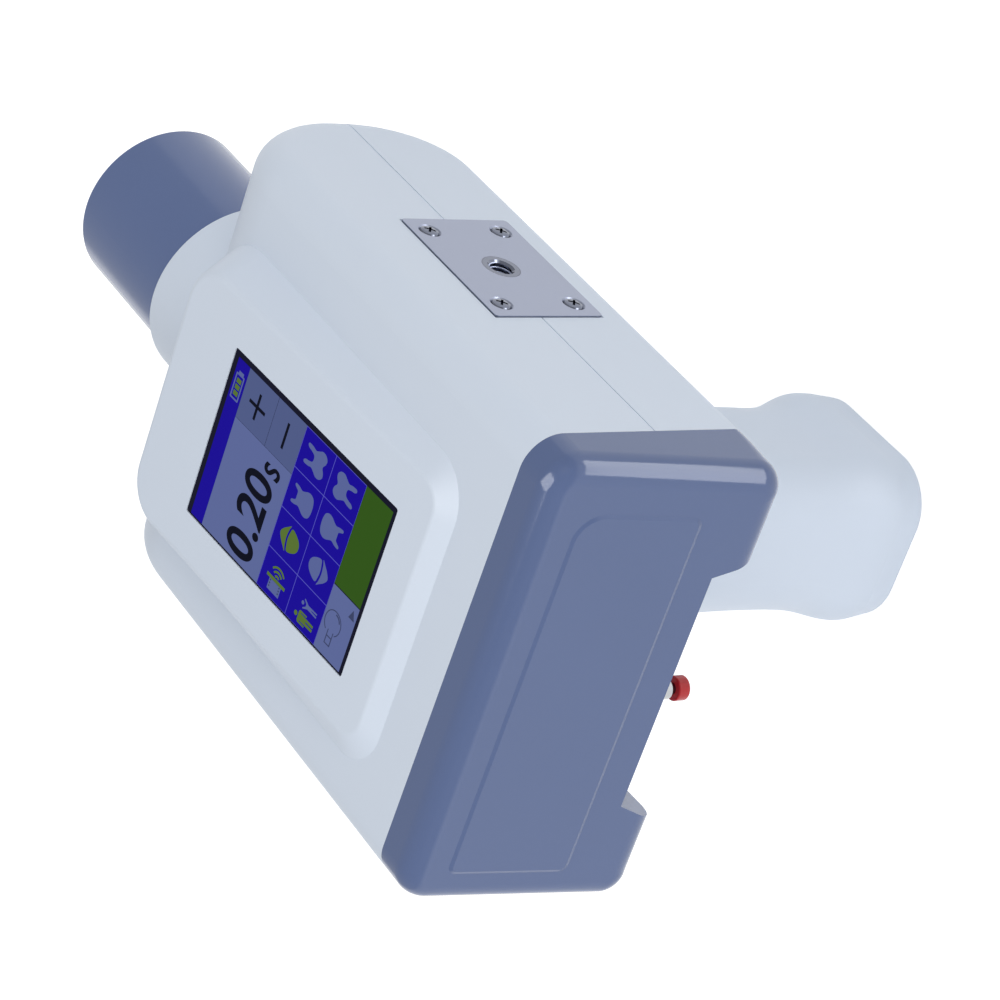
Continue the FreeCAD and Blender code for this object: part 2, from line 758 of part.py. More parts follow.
def make_tube_head():
    low, high = tank_floor, axis_z + tank_above
    body = rounded_slab(tank_rear, tank_front, -tank_half_width, tank_half_width, low, high, 4.0)
    cavity = block(tank_rear + tank_wall, tank_front - tank_wall, -tank_half_width + tank_wall,
                   tank_half_width - tank_wall, low + tank_wall, high + 1.0)
    ears = [block(x - tank_ear, x + tank_ear, y - 6.0, y + 6.0, low, low + tank_wall)
            for x, y in tank_ear_points()]
    holes = [rod(small_screw + screw_clear, Vector(x, y, low - 1.0), 6.0, Z)
             for x, y in tank_ear_points()]
    port = rod(aperture_radius - 4.0, Vector(tank_front - 5.0, 0, axis_z), 10.0, X)
    save("tube_head_tank", less(joined([body.cut(cavity)] + ears), holes + [port]))
    save("tube_head_lid", rounded_slab(tank_rear, tank_front, -tank_half_width, tank_half_width,
                                       high, high + tank_lid_thickness, 4.0))
    save("tank_screws", [pan_screw(small_screw, 5.5, Vector(x, y, low + tank_wall), -Z)
                         for x, y in tank_ear_points()])
    centre = Vector(focus_x, -tube_half_length, axis_z)
    glass = rod(tube_radius, centre, 2 * tube_half_length, Y)
    ends = [e for e in glass.Edges if e.Curve.TypeId == "Part::GeomCircle"]
    glass = glass.makeFillet(6.0, ends)
    hollow = rod(tube_radius - 1.2, centre + Y * 1.2, 2 * tube_half_length - 2.4, Y)
    rims = [e for e in hollow.Edges if e.Curve.TypeId == "Part::GeomCircle"]
    hollow = hollow.makeFillet(4.8, rims)
    necks = rod(7.0 + slide_gap, centre - Y, 2 * tube_half_length + 2.0, Y)
    save("xray_tube_glass", less(glass, [hollow, necks]))
    anode = rod(7.0, Vector(focus_x, 3.0, axis_z), tube_half_length + 3.0, Y)
    bevel = block(-20.0, 20.0, -20.0, 0.0, -20.0, 20.0)
    bevel.rotate(Vector(0, 0, 0), Z, 20.0)
    bevel.translate(Vector(focus_x, 5.0, axis_z))
    save("xray_tube_anode", anode.cut(bevel))
    cathode = rod(7.0, Vector(focus_x, -tube_half_length - 3.0, axis_z), 24.0, Y)
    cup = rod(4.5, Vector(focus_x, -tube_half_length + 17.0, axis_z), 6.0, Y)
    save("xray_tube_cathode", cathode.cut(cup))
    saddles = []
    for y in (-22.0, 18.0):
        saddle = block(focus_x - 19.0, focus_x + 19.0, y, y + 4.0, low + tank_wall, axis_z)
        saddles.append(saddle.cut(rod(tube_radius + slide_gap, Vector(focus_x, y - 1.0, axis_z), 6.0, Y)))
    save("tube_saddles", saddles)
    core = block(tank_rear + 6.0, focus_x - 22.0, -24.0, 24.0, low + tank_wall, low + tank_wall + 34.0)
    save("hv_transformer", core)
    board = block(focus_x + 24.0, focus_x + 26.0, -30.0, 30.0, low + tank_wall, axis_z - 14.0)
    parts = [rod(4.0, Vector(focus_x + 26.0, y, axis_z - 20.0), 12.0, X) for y in (-18.0, 0.0, 18.0)]
    save("hv_multiplier", joined([board] + parts))


# ---- screen --------------------------------------------------------------
def make_screen():
    half_x, half_y = screen_length / 2, screen_width / 2
    rim_x, rim_y = half_x + glass_border, half_y + glass_border
    top = -bezel_thickness
    sheet = rounded_slab(-rim_x, rim_x, -rim_y, rim_y, top - glass_thickness, top, 1.5)
    lens_x, lens_y = half_x - lens_gap, half_y - lens_gap
    lens = rounded_slab(-lens_x, lens_x, -lens_y, lens_y, top - 0.5, -lens_recess,
                        opening_corner - lens_gap)
    save("touch_glass", on_screen(joined([sheet, lens])))
    top -= glass_thickness
    frame = block(-rim_x, rim_x, -rim_y, rim_y, top - gasket_thickness, top)
    frame = frame.cut(block(-half_x, half_x, -half_y, half_y, top - 2.0, top + 1.0))
    save("screen_gasket", on_screen(frame))
    top -= gasket_thickness
    save("lcd_module", on_screen(block(-rim_x, rim_x, -rim_y, rim_y, top - lcd_thickness, top)))
    top -= lcd_thickness
    board = block(-half_x, half_x, -half_y, half_y, top - display_board_thickness, top)
    save("display_board", on_screen(board))
    top -= display_board_thickness
    frame = rounded_slab(-bracket_x - 4.0, bracket_x + 4.0, -bracket_y - 4.0, bracket_y + 4.0,
                         top - screen_bracket_thickness, top, 3.0)
    window = block(-half_x + 8.0, half_x - 8.0, -half_y + 8.0, half_y - 8.0, top - 2.0, top + 1.0)
    holes = [rod(1.5, Vector(x, y, top - 2.0), 4.0, Z) for x, y in bracket_points()]
    save("screen_bracket", on_screen(less(frame, [window] + holes)))
    save("screen_screws", [on_screen_screw(x, y, top - screen_bracket_thickness)
                           for x, y in bracket_points()])


def on_screen_screw(x, y, level):
    head = rod(2.2, Vector(x, y, level - 1.4), 1.4, Z)
    return on_screen(head.fuse(rod(screen_screw, Vector(x, y, level), 7.0, Z)))


# ---- circuit boards ------------------------------------------------------
def make_boards():
    face = tank_rear - board_gap
    points = [(sy * 30.0, axis_z + sz * 22.0) for sy in (-1, 1) for sz in (-1, 1)]
    board = block(face - board_thickness, face, -56.0, 56.0, axis_z - 24.0, axis_z + 34.0)
    chips = [block(face - board_thickness - 2.0, face - board_thickness, y, y + 14.0, z, z + 14.0)
             for y, z in ((-44.0, axis_z + 2.0), (-7.0, axis_z + 6.0), (24.0, axis_z - 16.0))]
    holes = [rod(board_screw + 0.1, Vector(face - 5.0, y, z), 8.0, X) for y, z in points]
    save("main_board", less(joined([board] + chips), holes))
    save("board_standoffs", [rod(board_post_radius, Vector(face, y, z), board_gap, X) for y, z in points])
    save("board_screws", [pan_screw(board_screw, board_thickness, Vector(face - board_thickness, y, z), X)
                          for y, z in points])
    save("beeper", rod(6.0, Vector(face - board_thickness - 7.0, 44.0, axis_z + 20.0), 7.0, X))
    side = tank_half_width + board_gap
    drive = block(-34.0, 58.0, side, side + board_thickness, axis_z - 24.0, axis_z + 26.0)
    coils = [rod(9.0, Vector(x, side + board_thickness, axis_z), 14.0, Y) for x in (-14.0, 12.0, 38.0)]
    save("drive_board", joined([drive] + coils))
    points = [(x, axis_z + sz * 18.0) for x in (-28.0, 52.0) for sz in (-1, 1)]
    save("drive_standoffs", [rod(board_post_radius, Vector(x, tank_half_width, z), board_gap, Y)
                             for x, z in points])


# ---- side mounting plate -------------------------------------------------
def make_mount_plate():
    half_x, half_z = plate_length / 2, plate_height / 2
    plate = rounded_slab(-half_x, half_x, -half_z, half_z, 0, plate_thickness, plate_corner)
    plate.rotate(Vector(0, 0, 0), X, -90)
    plate.translate(Vector(plate_centre, plate_outer, plate_z))
    flange = rod(insert_flange_radius + slide_gap, Vector(plate_centre, plate_outer - 1.0, plate_z), 2.0, Y)
    save("mount_plate", less(plate, [flange] + plate_holes()))
    start = Vector(plate_centre, plate_outer, plate_z)
    insert = rod(insert_flange_radius, start, 1.0, Y).fuse(rod(insert_body_radius, start, insert_length, Y))
    mouth = Part.makeCone(insert_bore_radius + 0.8, insert_bore_radius, 0.8, start, Y)
    save("threaded_insert", less(insert, [rod(insert_bore_radius, start, insert_length, Y), mouth]))
    screws = [flat_screw(plate_screw_shank, plate_screw_head, 9.0, point, Y)
              for point in plate_screw_points()]
    save("mount_plate_screws", screws)
    backing = block(plate_centre - half_x + 1.0, plate_centre + half_x - 1.0, backing_outer,
                    backing_outer + backing_thickness, plate_z - half_z + 1.0, plate_z + half_z - 1.0)
    save("plate_backing", less(backing, plate_holes()))


# ---- handle pieces -------------------------------------------------------
def handle_skin(inset):
    wires = []
    for height, rear, front, half in handle_stations:
        radius = handle_corner - inset
        wires.append(rounded_wire(-rear + inset, front - inset, -half + inset, half - inset,
                                  height, [radius] * 4))
    return Part.makeLoft(wires, True, False)


def trigger_form(gap):
    """Trigger button with its retaining flange, enlarged by a gap."""
    front = front_at(trigger_height) + trigger_proud
    back = front_at(trigger_height) - handle_wall - trigger_flange_gap - trigger_flange
    half_y = trigger_width / 2 + gap
    half_z = trigger_length / 2 + gap
    body = block(back, front, -half_y, half_y, trigger_height - half_z, trigger_height + half_z)
    if gap:
        return body
    nose = [e for e in body.Edges if abs(middle(e).x - front) < 0.01]
    body = body.makeFillet(2.5, nose)
    flange = block(back, back + trigger_flange, -half_y - trigger_flange, half_y + trigger_flange,
                   trigger_height - half_z - trigger_flange, trigger_height + half_z + trigger_flange)
    return joined([body, flange])


def trigger_pocket():
    """Room inside the grip wall for the trigger's flange, over its whole travel."""
    back = front_at(trigger_height) - handle_wall - trigger_flange_gap - trigger_flange
    half_y = trigger_width / 2 + trigger_flange + 2 * trigger_gap
    half_z = trigger_length / 2 + trigger_flange + 2 * trigger_gap
    return block(back - trigger_travel - trigger_gap, back + trigger_flange + trigger_gap,
                 -half_y, half_y, trigger_height - half_z, trigger_height + half_z)


def make_handle():
    skin = handle_skin(0)
    hollow = handle_skin(handle_wall)
    low = block(-beyond, beyond, -beyond, beyond, foot_height, bottom_z)
    walls = skin.cut(hollow).common(low)
    bosses = []
    for x, y in bolt_points:
        bosses.append(rod(4.5, Vector(x, y, bottom_z - 16.0), 16.0, Z))
    for x, y in foot_points:
        bosses.append(rod(4.0, Vector(x, y, foot_height), 12.0, Z))
    for x, z in handle_pins:
        bosses.append(rod(pin_boss_radius, Vector(x, -40.0, z), 80.0, Y))
    bosses = Part.makeCompound(bosses).common(skin)
    body = joined([walls] + bosses.Solids)
    cuts = [trigger_form(trigger_gap), trigger_pocket(),
            rod(socket_radius + slide_gap, Vector(20.0, 0, socket_height), 30.0, X),
            block(tang_x - fit_gap, tang_x + tang_thickness + fit_gap, -tang_half_width - fit_gap,
                  tang_half_width + fit_gap, bottom_z - tang_depth - 2.0, bottom_z + 1.0)]
    for x, y in bolt_points:
        cuts.append(rod(bolt_radius + thread_clear, Vector(x, y, bottom_z - 12.0), 13.0, Z))
    for x, y in foot_points:
        cuts.append(rod(small_screw + thread_clear, Vector(x, y, foot_height - 1.0), 10.0, Z))
    for x, z in handle_pins:
        cuts.append(rod(small_screw + thread_clear, Vector(x, pin_seat, z), 2 * pin_seat, -Y))
        cuts.append(rod(head_hole_radius, Vector(x, pin_seat, z), 40.0, Y))
    body = less(body, cuts)
    save("handle_right", body.common(block(-beyond, beyond, -beyond, 0, 0, beyond)))
    save("handle_left", body.common(block(-beyond, beyond, 0, beyond, 0, beyond)))
    save("handle_screws", [pan_screw(small_screw, 30.0, Vector(x, pin_seat, z), -Y)
                           for x, z in handle_pins])


def make_charging_socket():
    base = 2.0
    start = Vector(front_at(socket_height) - 0.5 - socket_length, 0, socket_height)
    sleeve = tube(socket_radius, socket_bore, start, socket_length, X)
    plug_pin = rod(1.0, start - X, socket_length - 1.5, X)
    save("charging_socket", joined([sleeve, rod(socket_radius, start - X * base, base, X), plug_pin]))


def make_foot():
    rear, front, half = handle_stations[-1][1:]
    low = rounded_wire(-rear + 1.2, front - 1.2, -half + 1.2, half - 1.2, 0, [handle_corner] * 4)
    high = rounded_wire(-rear, front, -half, half, foot_height, [handle_corner] * 4)
    body = Part.makeLoft([low, high], True, True)
    rim = [e for e in body.Edges if middle(e).z < 0.01 and all(v.Z < 0.01 for v in e.Vertexes)]
    body = body.makeFillet(foot_edge_radius, rim)
    inset = 4.0
    cavity = rounded_slab(-rear + inset + 9.0, front - inset - 9.0, -half + inset + 1.0,
                          half - inset - 1.0, 3.0, foot_height + 1.0, 6.0)
    posts = [rod(5.0, Vector(x, y, 1.0), foot_height - 1.0, Z) for x, y in foot_points]
    body = joined([body.cut(cavity)] + posts)
    holes = []
    for x, y in foot_points:
        holes.append(rod(head_hole_radius, Vector(x, y, -1.0), foot_screw_seat + 1.0, Z))
        holes.append(rod(small_screw + screw_clear, Vector(x, y, -1.0), 20.0, Z))
    save("handle_foot", less(body, holes))
    save("foot_screws", [pan_screw(small_screw, 12.0, Vector(x, y, foot_screw_seat), Z)
                         for x, y in foot_points])


def make_grip_core():
    """Metal bracket that ties the grip to the housing, and the battery below it."""
    plate = block(bracket_rear, bracket_front, -bracket_half_width, bracket_half_width,
                  floor_z, floor_z + bracket_thickness)
    tang = block(tang_x, tang_x + tang_thickness, -tang_half_width, tang_half_width,
                 bottom_z - tang_depth, floor_z + 1.0)
    deck = floor_z + bracket_thickness
    holes = [flat_hole(bolt_radius, 2 * bolt_radius, 6.0, Vector(x, y, deck), -Z)
             for x, y in bolt_points]
    holes.append(rod(cable_hole_radius, Vector(0, 0, floor_z - 1.0), 6.0, Z))
    save("grip_bracket", less(joined([plate, tang]), holes))
    save("grip_bolts", [flat_screw(bolt_radius, 2 * bolt_radius, bolt_length, Vector(x, y, deck), -Z)
                        for x, y in bolt_points])
    base, top = cell_bottom, cell_top
    offset = cell_pitch / 2
    save("battery_cells", [rod(cell_radius, Vector(sx * offset, sy * offset, base), cell_length, Z)
                           for sx in (-1, 1) for sy in (-1, 1)])
    reach = cell_pitch + 0.5
    bottom = rounded_slab(-reach - 7.0, reach + 6.0, -reach - 4.0, reach + 4.0, base - 3.0, base, 8.0)
    bottom = bottom.cut(block(-14.0, 14.0, -14.0, 14.0, base - 3.0, base - 1.0))
    save("battery_tray", bottom)
    cover = block(-reach, 15.0, -reach, reach, top, top + 1.5)
    save("battery_board", cover)
    return top + 1.5


def make_trigger(deck):
    save("trigger", trigger_form(0))
    back = front_at(trigger_height) - handle_wall - trigger_flange_gap - trigger_flange
    switch = block(-8.0, 9.0, -6.0, 6.0, deck, deck + 14.0)
    save("trigger_switch", switch)
    save("trigger_spring", tube(3.0, 2.0, Vector(9.0, 0, deck + 7.0), back - 9.0, X))


# ---- push button ---------------------------------------------------------
def make_button():
    tip = axis_z - button_tip
    cap_top = tip + button_cap_length
    centre = Vector(button_x, button_y, 0)
    cap = rod(button_cap_radius, centre + Z * tip, button_cap_length, Z)
    rims = [e for e in cap.Edges if e.Curve.TypeId == "Part::GeomCircle"]
    cap = cap.makeFillet(0.6, rims)
    socket = rod(plunger_radius, centre + Z * (tip + 2.0), button_cap_length, Z)
    save("button_cap", cap.cut(socket))
    body_z = roof_z + bushing_inside
    head_z = body_z + 3.0
    plunger = joined([rod(plunger_radius, centre + Z * (tip + 2.0), head_z - tip - 2.0, Z),
                      rod(plunger_head, centre + Z * (head_z - 1.5), 1.5, Z)])
    save("button_plunger", plunger)
    start = cap_top + button_travel + 0.3
    bore = plunger_radius + running_gap
    save("button_bushing", tube(bushing_radius, bore, centre + Z * start, body_z - start, Z))
    nuts = []
    for level in (roof_z - nut_thickness, roof_z + wall):
        nut = hexagon(nut_width, level, nut_thickness, centre)
        nuts.append(nut.cut(rod(bushing_radius, centre + Z * (level - 1.0), nut_thickness + 2.0, Z)))
    save("button_nuts", nuts)
    half = switch_side / 2
    body = block(button_x - half, button_x + half, button_y - half, button_y + half,
                 body_z, body_z + switch_height)
    well = rod(plunger_head + 0.2, centre + Z * (body_z + 1.0), switch_height - 3.0, Z)
    bore = rod(plunger_radius + 0.2, centre + Z * (body_z - 1.0), 4.0, Z)
    save("button_switch", less(body, [well, bore]))
    save("button_spring", tube(plunger_head - 0.1, plunger_head - 0.8, centre + Z * head_z,
                               body_z + switch_height - 2.0 - head_z, Z))


def make_shell_screws():
    level = bottom_z + shell_screw_depth
    save("housing_screws", [pan_screw(small_screw, shell_screw_length, Vector(x, y, level), Z)
                            for x, y in shell_points])


save("upper_housing", make_upper_housing())
save("lower_housing", make_lower_housing())
save("rear_cap", make_rear_cap())
save("front_collar", make_front_collar())
save("collimator_cone", make_cone())
make_beam_parts()
make_tube_head()
make_screen()
make_boards()
make_mount_plate()
make_handle()
make_charging_socket()
make_foot()
make_trigger(make_grip_core())
make_button()
make_shell_screws()
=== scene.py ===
import math

import bmesh
import bpy
from mathutils import Matrix, Vector


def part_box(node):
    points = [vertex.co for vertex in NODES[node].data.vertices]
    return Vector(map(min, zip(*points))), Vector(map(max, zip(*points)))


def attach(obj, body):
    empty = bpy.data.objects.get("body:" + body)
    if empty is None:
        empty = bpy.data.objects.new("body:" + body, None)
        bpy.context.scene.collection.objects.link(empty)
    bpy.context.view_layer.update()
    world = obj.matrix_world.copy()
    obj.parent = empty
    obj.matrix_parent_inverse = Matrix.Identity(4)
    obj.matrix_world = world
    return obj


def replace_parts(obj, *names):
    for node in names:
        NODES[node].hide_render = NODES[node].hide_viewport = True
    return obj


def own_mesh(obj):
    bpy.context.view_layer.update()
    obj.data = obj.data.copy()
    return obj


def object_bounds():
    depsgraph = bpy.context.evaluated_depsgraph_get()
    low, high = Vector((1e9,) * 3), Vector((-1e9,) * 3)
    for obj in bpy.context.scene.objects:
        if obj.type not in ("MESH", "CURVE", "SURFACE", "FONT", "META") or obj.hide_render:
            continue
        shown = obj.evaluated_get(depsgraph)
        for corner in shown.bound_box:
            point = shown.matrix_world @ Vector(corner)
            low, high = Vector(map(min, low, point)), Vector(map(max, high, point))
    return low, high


bl_info = {
    "name": "Hand-held Dental X-ray Unit",
    "version": (1, 0, 0),
    "blender": (4, 5, 0),
    "location": "3D View > Sidebar > X-ray Unit",
    "description": "Finishes, touch display and small hardware of a hand-held dental x-ray unit",
    "category": "Add Mesh",
}

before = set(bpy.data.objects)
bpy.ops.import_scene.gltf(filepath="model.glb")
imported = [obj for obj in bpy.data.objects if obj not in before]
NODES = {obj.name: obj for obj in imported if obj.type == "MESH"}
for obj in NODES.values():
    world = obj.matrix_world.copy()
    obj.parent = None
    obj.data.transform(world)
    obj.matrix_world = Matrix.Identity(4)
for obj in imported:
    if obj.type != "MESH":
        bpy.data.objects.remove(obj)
CAD_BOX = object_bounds()
BODY = "unit"
MM = 0.001
# Points nearer than this are joined: in metres, finer for thin pieces, and in millimetres.
JOIN, JOIN_SMALL, JOIN_IN_MM = 1e-6, 1e-7, 1e-4


# ---- colour and node helpers -----------------------------------------------
def linear(text):
    """sRGB hex text to linear red, green, blue."""
    parts = [int(text[i:i + 2], 16) / 255 for i in (1, 3, 5)]
    return tuple(c / 12.92 if c <= 0.04045 else ((c + 0.055) / 1.055) ** 2.4 for c in parts)


def add(tree, kind, values=None, links=None, **settings):
    """Adds one node with its settings, socket values and incoming links."""
    made = tree.nodes.new(kind)
    for name, value in settings.items():
        setattr(made, name, value)
    for socket, value in (values or {}).items():
        made.inputs[socket].default_value = value
    for socket, source in (links or {}).items():
        tree.links.new(source, made.inputs[socket])
    return made


def shade(colour, factor):
    """Colour made darker or lighter, with its alpha."""
    return tuple(min(1.0, c * factor) for c in colour[:3]) + (1.0,)


FINE_DETAIL, BROAD_DETAIL = 3.0, 2.0
BROAD_TIMES = 40            # size of the broad patches over the size of the grain
SMOOTHEST = 0.02            # lowest roughness used
LIT_ROUGHNESS, LIT_IOR = 0.25, 1.1
LIT_BASE = 0.12             # share of its colour that a lit part shows by reflected light


def surface(name, colour, roughness, metallic=0.0, ior=1.5, grain=1.0, relief=0.0, mottle=0.04,
            stretch=(1, 1, 1), rough_spread=0.05):
    """Material with mottled colour and roughness. Grain size and relief are in millimetres."""
    made = bpy.data.materials.new(name)
    made.use_nodes = True
    tree = made.node_tree
    tree.nodes.clear()
    place = add(tree, "ShaderNodeTexCoord")
    turn = add(tree, "ShaderNodeMapping", {"Scale": stretch}, {"Vector": place.outputs["Object"]})
    fine = add(tree, "ShaderNodeTexNoise", {"Scale": 1 / (grain * MM), "Detail": FINE_DETAIL},
               {"Vector": turn.outputs["Vector"]})
    broad = add(tree, "ShaderNodeTexNoise",
                {"Scale": 1 / (BROAD_TIMES * grain * MM), "Detail": BROAD_DETAIL},
                {"Vector": turn.outputs["Vector"]})
    both = add(tree, "ShaderNodeMix", {"Factor": 0.5},
               {"A": fine.outputs["Fac"], "B": broad.outputs["Fac"]})
    tint = add(tree, "ShaderNodeMix", {6: shade(colour, 1 - mottle), 7: shade(colour, 1 + mottle)},
               {"Factor": both.outputs[0]}, data_type="RGBA")
    gloss = add(tree, "ShaderNodeMapRange", {"To Min": max(SMOOTHEST, roughness - rough_spread),
                                             "To Max": roughness + rough_spread},
                {"Value": both.outputs[0]})
    shader = add(tree, "ShaderNodeBsdfPrincipled", {"Metallic": metallic, "IOR": ior},
                 {"Base Color": tint.outputs[2], "Roughness": gloss.outputs["Result"]})
    if relief:
        bump = add(tree, "ShaderNodeBump", {"Strength": 1.0, "Distance": relief * MM},
                   {"Height": fine.outputs["Fac"]})
        tree.links.new(bump.outputs["Normal"], shader.inputs["Normal"])
    add(tree, "ShaderNodeOutputMaterial", links={"Surface": shader.outputs["BSDF"]})
    return made


def lit(name, colour, glow):
    """Backlit liquid crystal under glass: even colour of its own, hardly changed by the lamps."""
    made = surface(name, shade(colour, LIT_BASE), LIT_ROUGHNESS, ior=LIT_IOR, grain=0.3, mottle=0.05)
    shader = made.node_tree.nodes["Principled BSDF"]
    shader.inputs["Emission Color"].default_value = shade(colour, 1)
    shader.inputs["Emission Strength"].default_value = glow
    return made


def dress(made, *names):
    """Gives a finish to CAD nodes."""
    for name in names:
        mesh = NODES[name].data
        mesh.materials.clear()
        mesh.materials.append(made)


# ---- mesh helpers ----------------------------------------------------------
def finish_piece(name, mesh, made, body=BODY):
    """Puts a finished mesh in the scene as a piece that rides on a body."""
    mesh.name = name
    if not mesh.materials:
        mesh.materials.append(made)
    piece = bpy.data.objects.new(name, mesh)
    bpy.context.scene.collection.objects.link(piece)
    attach(piece, body)
    return piece


def mesh_of(source):
    """Plain mesh of a curve, text or modified object, which is then removed."""
    bpy.context.scene.collection.objects.link(source)
    graph = bpy.context.evaluated_depsgraph_get()
    mesh = bpy.data.meshes.new_from_object(source.evaluated_get(graph))
    data = source.data
    bpy.data.objects.remove(source)
    if isinstance(data, bpy.types.Curve):
        bpy.data.curves.remove(data)
    return mesh


def tidy(mesh, merge=JOIN):
    """Merges doubles and turns the faces outwards."""
    work = bmesh.new()
    work.from_mesh(mesh)
    bmesh.ops.remove_doubles(work, verts=work.verts, dist=merge)
    bmesh.ops.recalc_face_normals(work, faces=work.faces)
    work.to_mesh(mesh)
    work.free()
    return mesh


def merged(meshes):
    """One mesh from several."""
    work = bmesh.new()
    for mesh in meshes:
        work.from_mesh(mesh)
        bpy.data.meshes.remove(mesh)
    whole = bpy.data.meshes.new("merged")
    work.to_mesh(whole)
    work.free()
    return whole


def grown(tree_maker, name, values):
    """Plain mesh made by a Geometry Nodes tree whose named inputs take these values."""
    tree = tree_maker(name)
    carrier = bpy.data.objects.new(name, bpy.data.meshes.new(name))
    modifier = carrier.modifiers.new(name, "NODES")
    modifier.node_group = tree
    for item in tree.interface.items_tree:
        if item.item_type == "SOCKET" and item.in_out == "INPUT" and item.name in values:
            modifier[item.identifier] = values[item.name]
    return tidy(mesh_of(carrier))


def new_tree(name, inputs):
    """Geometry Nodes tree with these inputs: name, socket kind, default."""
    tree = bpy.data.node_groups.new(name, "GeometryNodeTree")
    for title, kind, default in inputs:
        socket = tree.interface.new_socket(title, in_out="INPUT", socket_type=kind)
        if default is not None:
            socket.default_value = default
    tree.interface.new_socket("Geometry", in_out="OUTPUT", socket_type="NodeSocketGeometry")
    return tree, add(tree, "NodeGroupInput"), add(tree, "NodeGroupOutput")


# ---- sizes and colours a user may change -----------------------------------
class FinishSettings(bpy.types.PropertyGroup):
    """Colours of the mouldings and metal parts."""
    shell: bpy.props.FloatVectorProperty(
        name="Shell white", description="Cool white of the housing and grip", subtype="COLOR",
        size=3, min=0, max=1, default=linear("#D5DFED"))
    cap: bpy.props.FloatVectorProperty(
        name="Cap blue-grey", description="Blue-grey of the rear cap and beam cone", subtype="COLOR",
        size=3, min=0, max=1, default=linear("#55668F"))
    steel: bpy.props.FloatVectorProperty(
        name="Steel", description="Brushed stainless of the side plate", subtype="COLOR",
        size=3, min=0, max=1, default=linear("#9399AB"))
    button: bpy.props.FloatVectorProperty(
        name="Button red", description="Red of the push button cap", subtype="COLOR",
        size=3, min=0, max=1, default=linear("#B7262A"))


class DisplaySettings(bpy.types.PropertyGroup):
    """Layout of the lit display, in its own millimetres."""
    width: bpy.props.FloatProperty(
        name="Lit width", description="Lit area across the unit", subtype="DISTANCE", unit="LENGTH",
        default=61.6 * MM)
    height: bpy.props.FloatProperty(
        name="Lit height", description="Lit area along the unit", subtype="DISTANCE", unit="LENGTH",
        default=94.0 * MM)
    shift_across: bpy.props.FloatProperty(
        name="Shift across", description="Lit area's middle to the right of the opening's middle",
        subtype="DISTANCE", unit="LENGTH", default=-0.8 * MM)
    shift_along: bpy.props.FloatProperty(
        name="Shift along", description="Lit area's middle ahead of the opening's middle",
        subtype="DISTANCE", unit="LENGTH", default=-0.34 * MM)
    layer: bpy.props.FloatProperty(
        name="Layer", description="Thickness of each printed layer", subtype="DISTANCE", unit="LENGTH",
        default=0.06 * MM)
    blue: bpy.props.FloatVectorProperty(
        name="Key blue", description="Blue of the keys", subtype="COLOR", size=3, min=0, max=1,
        default=linear("#150296"))
    panel: bpy.props.FloatVectorProperty(
        name="Panel grey", description="Grey of the read-out panel", subtype="COLOR", size=3,
        min=0, max=1, default=linear("#5D699B"))
    key: bpy.props.FloatVectorProperty(
        name="Key grey", description="Grey of the plus and minus keys", subtype="COLOR", size=3,
        min=0, max=1, default=linear("#505C88"))
    ready: bpy.props.FloatVectorProperty(
        name="Ready green", description="Green of the lower bar", subtype="COLOR", size=3,
        min=0, max=1, default=linear("#305515"))
    chosen: bpy.props.FloatVectorProperty(
        name="Chosen green", description="Yellow-green of the chosen icons", subtype="COLOR", size=3,
        min=0, max=1, default=linear("#587230"))
    icon: bpy.props.FloatVectorProperty(
        name="Icon grey", description="Blue-grey of the other icons", subtype="COLOR", size=3,
        min=0, max=1, default=linear("#59659A"))
    line: bpy.props.FloatVectorProperty(
        name="Line violet", description="Violet of the lines between the keys", subtype="COLOR",
        size=3, min=0, max=1, default=linear("#5B5ABD"))
    glow: bpy.props.FloatProperty(
        name="Glow", description="Strength of the lit colours", default=0.85)
    ink: bpy.props.FloatVectorProperty(
        name="Ink", description="Dark of the figures", subtype="COLOR", size=3, min=0, max=1,
        default=linear("#04071A"))


class HardwareSettings(bpy.types.PropertyGroup):
    """Thread and spring sizes."""
    thread_pitch: bpy.props.FloatProperty(
        name="Thread pitch", description="Pitch of the tripod thread, 16 to the inch",
        subtype="DISTANCE", unit="LENGTH", default=25.4 / 16 * MM)
    thread_depth: bpy.props.FloatProperty(
        name="Thread depth", description="Height of the thread ridges drawn in the bore",
        subtype="DISTANCE", unit="LENGTH", default=0.35 * MM)
    button_turns: bpy.props.FloatProperty(
        name="Button spring turns", description="Turns of the push button's spring", default=6.0)
    trigger_turns: bpy.props.FloatProperty(
        name="Trigger spring turns", description="Turns of the trigger's spring", default=7.0)


class StageSettings(bpy.types.PropertyGroup):
    """Camera, floor and lamps."""
    lens: bpy.props.FloatProperty(
        name="Lens", description="Focal length in millimetres on a 36 mm sensor", default=124.7)
    floor: bpy.props.FloatProperty(
        name="Floor", description="Side of the floor", subtype="DISTANCE", unit="LENGTH", default=12.0)
    key_power: bpy.props.FloatProperty(
        name="Key lamp", description="Key soft box", subtype="POWER", unit="POWER", default=5.6)
    fill_power: bpy.props.FloatProperty(
        name="Fill lamp", description="Fill soft box", subtype="POWER", unit="POWER", default=4.3)
    edge_power: bpy.props.FloatProperty(
        name="Edge card", description="Low card that glints in the cap's edge", subtype="POWER",
        unit="POWER", default=0.62)
    overhead_power: bpy.props.FloatProperty(
        name="Overhead card", description="Card above that glints in the corners", subtype="POWER",
        unit="POWER", default=10.0)
    world: bpy.props.FloatProperty(
        name="World", description="Brightness of the surroundings on the object", default=0.67)


